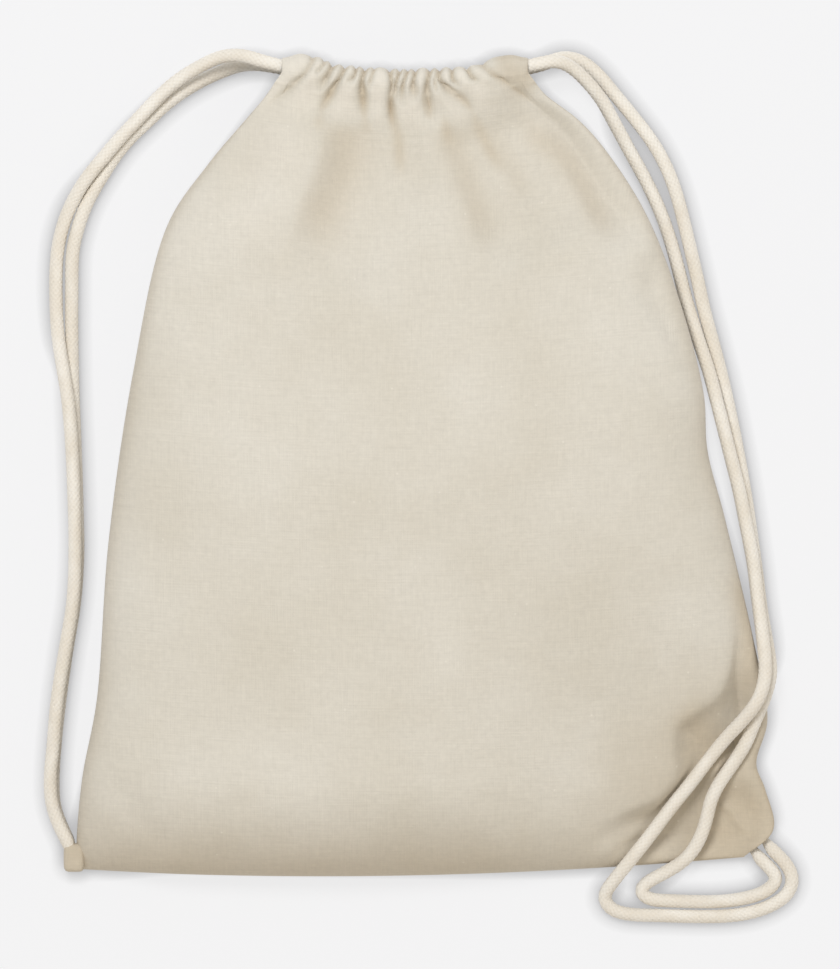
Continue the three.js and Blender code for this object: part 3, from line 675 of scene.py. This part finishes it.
# Colour of the painted shade in the gaps of the braid
ROPE_GAP_PAINTED_SHADE = srgb(204, 192, 172)
COTTON_SURFACE = {"Roughness": 0.94, "Specular IOR Level": 0.2, "Sheen Weight": 0.1}
ROPE_SURFACE = {"Roughness": 0.92, "Specular IOR Level": 0.2, "Sheen Weight": 0.2}

# Patterns across and along the cloth, in repeats a metre
MOTTLE = (14, 11, 1)
WARP = (1500, 60, 1)
WEFT = (50, 1300, 1)
FELT = (330, 330, 1)
SPOTS = (210, 210, 1)
FIBRES = (900, 900, 1)
PATCHES = (90, 40, 1)

# Ranges that are kept of the patterns, and the tones that they become
PATCH_RANGE = (0.35, 0.65)
FINE_RANGE = (0.3, 0.7)
THREAD_RANGE = (0.6, 1.4)
THREAD_TONE = (0.95, 1.045)
FELT_TONE = (0.965, 1.035)
FIBRE_TONE = (0.94, 1.05)
FLECK_RARE = 0.82
FLECK_SIZE = (0.05, 0.16)
FLECK_MOST = 0.3
# How much of the painted shade colour the braid's gaps take at most
ROPE_GAP_SHADE_MOST = 0.4


def shader(name, surface):
    """New material with the settings of its surface, its node tree and its main node."""
    material = bpy.data.materials.new(name)
    material.use_nodes = True
    tree = material.node_tree
    principled = tree.nodes["Principled BSDF"]
    for key, value in surface.items():
        principled.inputs[key].default_value = value
    return material, tree, principled


def add_node(tree, kind, inputs=(), **settings):
    node = tree.nodes.new(kind)
    for key, value in settings.items():
        setattr(node, key, value)
    for key, value in dict(inputs).items():
        if isinstance(value, bpy.types.NodeSocket):
            tree.links.new(value, node.inputs[key])
        else:
            node.inputs[key].default_value = value
    return node


def cloth_coordinates(tree, scale):
    uv = add_node(tree, "ShaderNodeUVMap", uv_map="cloth").outputs[0]
    return add_node(tree, "ShaderNodeVectorMath", {0: uv, 1: scale}, operation="MULTIPLY").outputs[0]


def noise_value(tree, scale, detail=2.0, roughness=0.5):
    place = cloth_coordinates(tree, scale)
    inputs = {"Vector": place, "Scale": 1.0, "Detail": detail, "Roughness": roughness}
    return add_node(tree, "ShaderNodeTexNoise", inputs).outputs["Fac"]


def math_value(tree, operation, a, b):
    return add_node(tree, "ShaderNodeMath", {0: a, 1: b}, operation=operation).outputs[0]


def mixed(tree, factor, a, b, blend="MIX"):
    inputs = {0: factor, 6: a, 7: b}
    return add_node(tree, "ShaderNodeMix", inputs, data_type="RGBA", blend_type=blend).outputs[2]


def ranged(tree, value, low, high, to_low=0.0, to_high=1.0):
    inputs = {"Value": value, "From Min": low, "From Max": high, "To Min": to_low, "To Max": to_high}
    return add_node(tree, "ShaderNodeMapRange", inputs).outputs["Result"]


def point_tone(tree):
    return add_node(tree, "ShaderNodeAttribute", attribute_name="tone").outputs["Fac"]


def connect(tree, principled, colour, relief, strength, depth):
    """Give a surface its colour and its fine relief."""
    tree.links.new(colour, principled.inputs["Base Color"])
    bump = add_node(tree, "ShaderNodeBump", {"Height": relief, "Strength": strength, "Distance": depth})
    tree.links.new(bump.outputs[0], principled.inputs["Normal"])


def cotton_material():
    material, tree, principled = shader("cotton", COTTON_SURFACE)
    mottle = ranged(tree, noise_value(tree, MOTTLE, detail=3.0), *PATCH_RANGE)
    base = mixed(tree, mottle, COTTON_WARM, COTTON_PALE)
    # The tone mixes in painted shade where positive and a painted highlight where negative
    tone = point_tone(tree)
    base = mixed(tree, math_value(tree, "MAXIMUM", tone, 0.0), base, COTTON_PAINTED_SHADE)
    crest_highlight = math_value(tree, "MAXIMUM", math_value(tree, "MULTIPLY", tone, -1.0), 0.0)
    base = mixed(tree, crest_highlight, base, COTTON_PAINTED_HIGHLIGHT)
    threads = math_value(tree, "ADD", noise_value(tree, WARP), noise_value(tree, WEFT))
    base = mixed(tree, 1.0, base, ranged(tree, threads, *THREAD_RANGE, *THREAD_TONE), "MULTIPLY")
    felt = noise_value(tree, FELT, detail=3.0, roughness=0.65)
    base = mixed(tree, 1.0, base, ranged(tree, felt, *FINE_RANGE, *FELT_TONE), "MULTIPLY")
    inputs = {"Vector": cloth_coordinates(tree, SPOTS), "Scale": 1.0}
    spots = add_node(tree, "ShaderNodeTexVoronoi", inputs).outputs
    rare = math_value(tree, "GREATER_THAN", spots["Color"], FLECK_RARE)
    near = ranged(tree, spots["Distance"], *FLECK_SIZE, 1.0, 0.0)
    fleck = math_value(tree, "MULTIPLY", math_value(tree, "MULTIPLY", rare, near), FLECK_MOST)
    base = mixed(tree, fleck, base, FLECK)
    connect(tree, principled, base, threads, strength=0.4, depth=0.0004)
    return material


def rope_material():
    material, tree, principled = shader("braided_cotton", ROPE_SURFACE)
    fibres = noise_value(tree, FIBRES, detail=4.0, roughness=0.6)
    base = mixed(tree, ranged(tree, noise_value(tree, PATCHES), *PATCH_RANGE), ROPE_WARM, ROPE_PALE)
    # Painted shade in the braid's gaps, from the tone of its points
    base = mixed(tree, math_value(tree, "MULTIPLY", point_tone(tree), ROPE_GAP_SHADE_MOST), base, ROPE_GAP_PAINTED_SHADE)
    base = mixed(tree, 1.0, base, ranged(tree, fibres, *FINE_RANGE, *FIBRE_TONE), "MULTIPLY")
    connect(tree, principled, base, fibres, strength=0.5, depth=0.0005)
    return material


COTTON = cotton_material()
ROPE = rope_material()


def dress(piece, material, slot, *nodes):
    piece.data.materials.append(material)
    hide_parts(*nodes)
    return piece


# Strands of the cords
def strand(exit_x, exit_z, points, *ends):
    exit_point = (exit_x, mouth_line(exit_x) + CORD_PITCH / 2, exit_z)
    return Strand(relaxed(smooth_curve([exit_point, *points, *ends])), squeezed=True)


def free_cord(node, whole, start, end):
    first, last = whole.ring_at(start), whole.ring_at(end)
    piece = whole.piece(f"{node}_braid", first, last)
    dress(piece, ROPE, "cord", node)
    return piece


LEFT_TAB_TOP = (-177.4, -191)
LEFT_TAB_INSIDE = (-177.4, -196)
RIGHT_FRONT_TUCK = [(176.3, -193.1, 3.8), (172.4, -188, 2.8)]
RIGHT_BACK_TUCK = [(170.2, -197.6, 3.8), (166.4, -192.4, 2.8)]
UPPER_Z = 1.5 * CORD_PITCH
LOWER_Z = 0.5 * CORD_PITCH
left_front = strand(
    LEFT_END, FRONT_LIP_Z, LEFT_FRONT_STRAND, (*LEFT_TAB_TOP, UPPER_Z), (*LEFT_TAB_INSIDE, UPPER_Z)
)
left_back = strand(
    LEFT_END, BACK_LIP_Z, LEFT_BACK_STRAND, (*LEFT_TAB_TOP, LOWER_Z), (*LEFT_TAB_INSIDE, LOWER_Z)
)
right_front = strand(RIGHT_END, FRONT_LIP_Z, RIGHT_FRONT_STRAND, *RIGHT_FRONT_TUCK)
right_back = strand(RIGHT_END, BACK_LIP_Z, RIGHT_BACK_STRAND, *RIGHT_BACK_TUCK)


# Front and back cloth with their tunnels
ROW_CROWDING = 0.08
HOLD_ROUND = 0.8
LAYER_GAP = 2 * CLOTH
EDGE_RUN = 12
TUNNEL_REACH = 5
TUNNEL_FALL = 1.2
JOIN_BEFORE = 26
JOIN_AFTER = 12
JOIN_ROUNDS = 80

# Bed of the cords that lie on the front cloth
BED_SLOPE = 1.8
BED_REACH = 22
BED_EVERY = 4
NO_BED = 1000.0
CORDS_ON_Y = -100
CORDS_ON_Z = 6

# Where a tunnel's rows show its outer and inner faces, and how much calmer the creases are on them
OUTER_FACE_END = 0.4
INNER_FACE = (0.45, 0.7)
INNER_CALM = 0.6
TOP_EDGE_ROWS = 10
TOP_EDGE_CALM = 0.5

# Unevenness of the front cloth: height, size and seed
RUMPLES = [(0.9, 55, 2.0), (0.25, 15, 9.0)]


def lip_rows(panel_end, lip_z, flip):
    """Rows of a tunnel's cloth above the panel's last row, from its stitching round to the inner hem."""
    curve = smooth_curve(LIP_SECTION)
    section = points_at(curve, np.linspace(0, 1, LIP_ROWS) * distances(curve)[-1])
    over, out = section[:, :1], section[:, 1:]
    share = (panel_end[:, 0] - panel_end[0, 0]) / (panel_end[-1, 0] - panel_end[0, 0])
    settle = smoothstep(np.arange(LIP_ROWS), 0, LIP_SETTLE_ROWS)[:, None]
    x = lerp(panel_end[:, 0][None], lerp(LEFT_END, RIGHT_END, share)[None], settle)
    from_end = np.minimum(x - LEFT_END, RIGHT_END - x)
    ear = smoothstep(from_end, 0, EAR_FULL_FROM) * (1 - smoothstep(from_end, EAR_FULL_TO, EAR_REACH))
    opened = np.sqrt(np.clip(from_end / END_ROUND, 0, 1))
    shrink = lerp(END_NARROW, 1, opened)
    out = out * lerp(END_THIN, FRONT_PUFF if flip > 0 else 1, opened)
    y = mouth_line(x) + over * np.where(over > 0, shrink, 1)
    y = y + EAR_RISE * ear * smoothstep(over, 0, EAR_OVER)
    z = lip_z + flip * out + 0 * x
    y = y + (panel_end[:, 1] - y[0]) * (1 - settle)
    z = z + (panel_end[:, 2] - z[0]) * (1 - settle)
    return np.stack([x, y, z], -1)


def above(value, floor):
    """The value, held softly above a floor."""
    return floor + (value - floor + np.sqrt((value - floor) ** 2 + HOLD_ROUND**2)) / 2


def cord_bed(x, y):
    """Height that the front cloth keeps below the cords that lie on it."""
    bed = np.full(x.shape, NO_BED)
    for whole in (right_front, right_back):
        lying = (whole.middle[:, 1] < CORDS_ON_Y) & (whole.middle[:, 2] > CORDS_ON_Z)
        on_it = whole.middle[lying][::BED_EVERY]
        near = (x > on_it[:, 0].min() - BED_REACH) & (y < CORDS_ON_Y + BED_REACH)
        away = np.hypot(x[near][:, None] - on_it[:, 0], y[near][:, None] - on_it[:, 1])
        limit = on_it[:, 2] - CORD_RADIUS - GAP + BED_SLOPE * np.maximum(away - CORD_RADIUS / 2, 0)
        bed[near] = np.minimum(bed[near], limit.min(axis=1))
    return bed


def eased(grid, first, last):
    """Soften the rows of a grid between two of them, so that what meets there flows together."""
    for _ in range(JOIN_ROUNDS):
        grid[first:last] = softened(grid[first - 1 : last + 1])
    return grid


def gathered_sheet(name, lip_z, flip):
    """Panel and tunnel in one sheet, with its folds; flip is 1 for the front and -1 for the back."""
    u = np.linspace(0, 1, CLOTH_COLUMNS + 1)
    t = np.linspace(0, 1, PANEL_ROWS + 1)
    v = t - ROW_CROWDING * np.sin(2 * np.pi * t)
    x, y, from_side, along_side = footprint(u, v)
    if flip > 0:
        z = front_height(x, y, u, v, from_side, along_side)
    else:
        z = back_height(x, y, from_side, along_side)
    panel = np.stack([x, y, z], -1)
    grid = np.concatenate([panel, lip_rows(panel[-1], lip_z, flip)[1:]])
    from_side = np.concatenate([from_side, np.tile(from_side[-1], (LIP_ROWS - 1, 1))])
    grid = eased(grid, len(panel) - JOIN_BEFORE, len(panel) + JOIN_AFTER)
    outward = grid_normals(grid)
    outward *= flip * np.sign(np.sum(outward[: len(panel), :, 2]))
    reach_y = np.minimum(grid[..., 1], mouth_line(grid[..., 0]) + LIP_TOP)
    row = np.arange(len(grid))[:, None]
    turning, turned = (len(panel) + share * LIP_ROWS for share in INNER_FACE)
    inner_face = smoothstep(row, turning, turned)
    top_edge = np.clip(outward[..., 1], 0, 1) * smoothstep(row, len(panel), len(panel) + TOP_EDGE_ROWS)
    edge = smoothstep(from_side, 0, EDGE_RUN) * smoothstep(grid[..., 1] - grid[:1, :, 1], 0, EDGE_RUN)
    creases = creased(grid[..., 0], reach_y) * smoothstep(from_side, 0, EAR_FLAT)
    relief = creases * (1 - INNER_CALM * inner_face) * (1 - TOP_EDGE_CALM * top_edge)
    if flip > 0:
        relief = relief + folded(grid[..., 0], reach_y) * edge
        for height, size, seed in RUMPLES:
            relief = relief + height * rumpled(grid[..., 0], grid[..., 1], size, seed) * edge
    flat = grid
    grid = grid + relief[..., None] * outward
    if flip > 0:
        body = grid[: len(panel), :, 2]
        level = back_height(x, y, from_side[: len(panel)], along_side) + LAYER_GAP
        body[:] = lerp(body, above(body, level), edge[: len(panel)])
        bed = np.maximum(cord_bed(x, y), level)
        body[:] = lerp(body, -above(-body, -bed), edge[: len(panel)])
        outer_face = row < len(panel) + OUTER_FACE_END * LIP_ROWS
        beyond = np.maximum(np.abs(grid[..., 1] - mouth_line(grid[..., 0])) - TUNNEL_REACH, 0)
        held = above(grid[..., 2], lip_z + TUNNEL_CORD + CLOTH + GAP - TUNNEL_FALL * beyond)
        grid[..., 2] = np.where(outer_face, held, grid[..., 2])
    # Painted shade in deep creases, at the slack corner and along the fold lines, less a painted highlight on
    # crests by the mouth
    crease_shade = np.clip((-creases - HOLLOW_START) / HOLLOW_DEPTH, 0, HOLLOW_MOST)
    slack_shade = SLACK_PAINTED_SHADE * np.clip(SLACK_LIMIT - fullness(grid[..., 0], grid[..., 1]), 0, SLACK_MOST)
    near_mouth = 1 - smoothstep(mouth_line(grid[..., 0]) - grid[..., 1], CREST_START, CREST_REACH)
    far_ear = 1 - smoothstep(grid[..., 0], RIGHT_END - EAR_REACH, RIGHT_END - EAR_FLAT)
    crest_highlight = CREST_PAINTED_HIGHLIGHT * near_mouth * far_ear * smoothstep(creases, -CREST_DEPTH, 0)
    shade = shaded(grid[..., 0], grid[..., 1])
    return cloth_sheet(name, grid, -flip, painted_light=crease_shade + slack_shade + shade - crest_highlight, flat=flat)


front_cloth = gathered_sheet("front_cloth", FRONT_LIP_Z, 1)
dress(front_cloth, COTTON, "cotton", "front_panel", "front_channel")
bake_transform(front_cloth)
back_cloth = gathered_sheet("back_cloth", BACK_LIP_Z, -1)
dress(back_cloth, COTTON, "cotton", "back_panel", "back_channel")
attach(back_cloth, "sack")

# Straps and loops
for lip, whole in (("front", left_front), ("back", left_back)):
    lead = free_cord(f"left_lead_{lip}", whole, 0, LEFT_LEAD)
    if lip == "front":
        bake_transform(lead)
    else:
        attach(lead, "sack")
    strap = free_cord(f"left_strap_{lip}", whole, LEFT_LEAD, whole.at[-1])
    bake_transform(strap)
for lip, whole in (("front", right_front), ("back", right_back)):
    strap = free_cord(f"right_strap_{lip}", whole, 0, RIGHT_STRAP_LENGTH)
    if lip == "front":
        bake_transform(strap)
    else:
        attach(strap, "sack")
    loop = free_cord(f"right_loop_{lip}", whole, RIGHT_STRAP_LENGTH, whole.at[-1])
    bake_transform(loop)


# Cords inside the tunnels, and where they turn from lip to lip
def tunnel_run(from_x, to_x, lip_z, half, swap):
    x = np.linspace(from_x, to_x, RUN_STEPS)
    side = half * (1 - 2 * swap * smoothstep(x, RIGHT_END - SWAP_RUN, RIGHT_END))
    return np.stack([x, mouth_line(x) + side * CORD_PITCH / 2, lip_z + 0 * x], 1)


def lip_turn(turn_x, half, outward):
    angle = np.linspace(0, np.pi, TURN_STEPS)
    x = turn_x + outward * TURN_RADIUS * np.sin(angle)
    return np.stack([x, mouth_line(x) + half * CORD_PITCH / 2, LIP_MIDDLE_Z + TURN_RADIUS * np.cos(angle)], 1)


def held_cord(node, line):
    whole = Strand(line, packed=True)
    return dress(whole.piece(f"{node}_braid", 0, len(whole.at) - 1), ROPE, "cord", node)


for lip, lip_z, body in (("front", FRONT_LIP_Z, "front_lip"), ("back", BACK_LIP_Z, "sack")):
    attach(held_cord(f"left_cord_{lip}_run", tunnel_run(LEFT_END, RIGHT_TURN_X, lip_z, 1, 0)), body)
    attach(held_cord(f"right_cord_{lip}_run", tunnel_run(LEFT_TURN_X, RIGHT_END, lip_z, -1, 1)), body)
for side, line in (("left", lip_turn(RIGHT_TURN_X, 1, 1)), ("right", lip_turn(LEFT_TURN_X, -1, -1))):
    turn = held_cord(f"{side}_cord_turn", line)
    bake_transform(turn)


# Folded cloth tabs that hold the cord ends
TAB_COLUMNS = 64
TAB_ROWS = 48
TAB_SQUARENESS = 0.4
# Painted shade that darkens the tabs' colour all over
TAB_PAINTED_SHADE = 0.6


def folded_tab(node, middle, along, across, half):
    """Soft loop of folded cloth: a rounded block."""
    along = np.array([*along, 0])
    across = np.array([*across, 0])
    upward = np.array([0, 0, 1])
    turn = np.linspace(0, 2 * np.pi, TAB_COLUMNS, endpoint=False)
    level = np.linspace(-np.pi / 2, np.pi / 2, TAB_ROWS + 1)

    def squared(value):
        return np.sign(value) * np.abs(value) ** TAB_SQUARENESS

    ring = squared(np.cos(level))[:, None]
    a = half[0] * squared(np.sin(level))[:, None] + 0 * turn
    b = half[1] * ring * squared(np.cos(turn))
    c = half[2] * ring * squared(np.sin(turn))
    place = np.array(middle) + a[..., None] * along + b[..., None] * across + c[..., None] * upward
    verts = place.reshape(-1, 3)
    faces = ring_faces(TAB_ROWS + 1, TAB_COLUMNS)[2]
    uv = np.stack([np.repeat(turn[None] * half[1], TAB_ROWS + 1, 0), a], -1).reshape(-1, 2)
    piece = new_object(f"{node}_cloth", verts, faces, uv, np.full(len(verts), TAB_PAINTED_SHADE))
    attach(dress(piece, COTTON, "cotton", node), "sack")


folded_tab(
    "left_corner_tab", middle=(-175.1, -197.1, 7.6), along=(0, 1), across=(-1, 0), half=(7.1, 5.2, 7.2)
)
folded_tab(
    "right_corner_tab", middle=(168.2, -188.7, 3.6), along=(0.595, -0.804), across=(0.804, 0.595),
    half=(2.6, 6.6, 2.4),
)


# Sewn edges inside the sack
SEAM_WIDTH = 8
SEAM_THICKNESS = 1.2
SEAM_INSET = 1.4
SEAM_LEVEL = 8.5
SEAM_COLUMNS = 9
SEAM_ROWS = 400
SEAM_END = 0.9
PUCKER = 0.35
PUCKER_LENGTH = 7


def seam_strip(node, edge, inward, height):
    """Two layers of cloth sewn along an edge line, slightly puckered by the stitches."""
    kept = height > SEAM_LEVEL
    edge, inward, height = edge[kept], inward[kept], height[kept]
    reach = np.linspace(SEAM_INSET, SEAM_INSET + SEAM_WIDTH, SEAM_COLUMNS)
    wave = PUCKER * np.sin(2 * np.pi * distances(edge) / PUCKER_LENGTH)
    place = edge[:, None] + inward[:, None] * reach[None, :, None]
    level = (height + SEAM_THICKNESS / 2)[:, None] + wave[:, None] * np.linspace(0, 1, SEAM_COLUMNS)
    grid = np.concatenate([place, level[..., None]], -1)
    upward = np.sign(np.sum(grid_normals(grid)[..., 2]))
    piece = cloth_sheet(f"{node}_strip", grid, -upward, SEAM_THICKNESS)
    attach(dress(piece, COTTON, "cotton", node), "sack")


def side_seam(node, curve, length, turn):
    v = np.linspace(0, SEAM_END, SEAM_ROWS)
    edge = points_at(curve, v * length)
    along = np.gradient(edge, axis=0)
    along /= np.linalg.norm(along, axis=1, keepdims=True)
    inward = turn * np.stack([along[:, 1], -along[:, 0]], 1)
    height = seam_height(edge[:, 0], edge[:, 1], 0 * v, v * LEFT_LENGTH, LIP_MIDDLE_Z)
    seam_strip(node, edge, inward, height)


def bottom_seam():
    x, y, from_side, along_side = footprint(np.linspace(0, 1, SEAM_ROWS), np.array([0.0, 1.0]))
    edge = np.stack([x[0], y[0]], 1)
    height = seam_height(x[0], y[0], from_side[0], along_side[0], LIP_MIDDLE_Z)
    seam_strip("bottom_seam", edge, np.tile([0.0, 1.0], (SEAM_ROWS, 1)), height)


side_seam("left_side_seam", LEFT_EDGE, LEFT_LENGTH, 1)
side_seam("right_side_seam", RIGHT_EDGE, RIGHT_LENGTH, -1)
bottom_seam()


# Floor, light and camera
FLOOR_HALF = 6.0
FLOOR_TONE = srgb(243, 243, 244)
FLOOR_SURFACE = {"Roughness": 0.9, "Specular IOR Level": 0.0}
FLOOR_GLOW = 0.85
# Painted contact shadow: the floor's colour is darkened where ambient occlusion finds the sack or cords close
# by
CONTACT_REACH = 0.008
CONTACT_SAMPLES = 12
CONTACT_DEEP = 0.5
CONTACT_PAINTED_SHADOW = 0.6


def stage():
    """Pale floor: part of what the camera sees of it is its own light, and the rest takes the shadows; near
    what lies on it, its colour is darkened as a painted contact shadow.
    """
    corners = [(x * FLOOR_HALF, y * FLOOR_HALF, 0) for x, y in ((-1, -1), (1, -1), (1, 1), (-1, 1))]
    mesh = bpy.data.meshes.new("floor")
    mesh.from_pydata(corners, [], [(0, 1, 2, 3)])
    floor = add_object("floor", mesh)
    material, tree, principled = shader("floor", FLOOR_SURFACE)
    rays = add_node(tree, "ShaderNodeLightPath").outputs
    seen = math_value(tree, "MAXIMUM", rays["Is Camera Ray"], rays["Is Glossy Ray"])
    seen = math_value(tree, "MAXIMUM", seen, rays["Is Transmission Ray"])
    share = math_value(tree, "MULTIPLY", seen, FLOOR_GLOW)
    # Painted contact shadow from ambient occlusion
    close = add_node(tree, "ShaderNodeAmbientOcclusion", {"Distance": CONTACT_REACH}, samples=CONTACT_SAMPLES)
    shade = ranged(tree, close.outputs["AO"], CONTACT_DEEP, 1.0, CONTACT_PAINTED_SHADOW, 1.0)
    tone = mixed(tree, 1.0, FLOOR_TONE, shade, "MULTIPLY")
    tree.links.new(tone, principled.inputs["Base Color"])
    glow = add_node(tree, "ShaderNodeEmission", {"Color": tone, "Strength": 1.0})
    both = add_node(tree, "ShaderNodeMixShader", {0: share, 1: principled.outputs[0], 2: glow.outputs[0]})
    tree.links.new(both.outputs[0], tree.nodes["Material Output"].inputs["Surface"])
    mesh.materials.append(material)


def area_light(name, place, size, power, colour=(1, 1, 1)):
    data = bpy.data.lights.new(name, "AREA")
    data.energy = power
    data.color = colour
    data.shape = "DISK"
    data.size = size
    lamp = add_object(name, data)
    lamp.location = place
    lamp.rotation_euler = (-Vector(place)).to_track_quat("-Z", "Y").to_euler()


PHOTO_HEIGHT = 969
MM_PER_PIXEL = 0.503
VIEW_HEIGHT = PHOTO_HEIGHT * MM_PER_PIXEL * MM
VIEW_CENTRE = (-0.001, -0.0093)
OUTLINE_LEVEL = 0.012
LENS = 300
SENSOR = 36
SKY_TINT = (1.0, 0.99, 0.975, 1)
SKY_STRENGTH = 0.5


def camera():
    data = bpy.data.cameras.new("camera")
    data.sensor_fit = "VERTICAL"
    data.sensor_height = SENSOR
    data.lens = LENS
    eye = add_object("camera", data)
    eye.location = (*VIEW_CENTRE, OUTLINE_LEVEL + VIEW_HEIGHT * LENS / SENSOR)
    bpy.context.scene.camera = eye


def world():
    background = bpy.data.worlds.new("world")
    background.use_nodes = True
    node = background.node_tree.nodes["Background"]
    node.inputs["Color"].default_value = SKY_TINT
    node.inputs["Strength"].default_value = SKY_STRENGTH
    bpy.context.scene.world = background


stage()
area_light("key", place=(-0.45, 0.95, 2.3), size=0.9, power=35)
area_light("side_fill", place=(1.6, 0.9, 0.65), size=1.0, power=3)
area_light("warm_fill", place=(1.1, -1.1, 1.3), size=1.6, power=4, colour=(1, 0.82, 0.56))
area_light("low_fill", place=(-0.5, -1.5, 0.9), size=1.2, power=2, colour=(1, 0.84, 0.6))
camera()
world()
bpy.context.scene.view_settings.view_transform = "Standard"
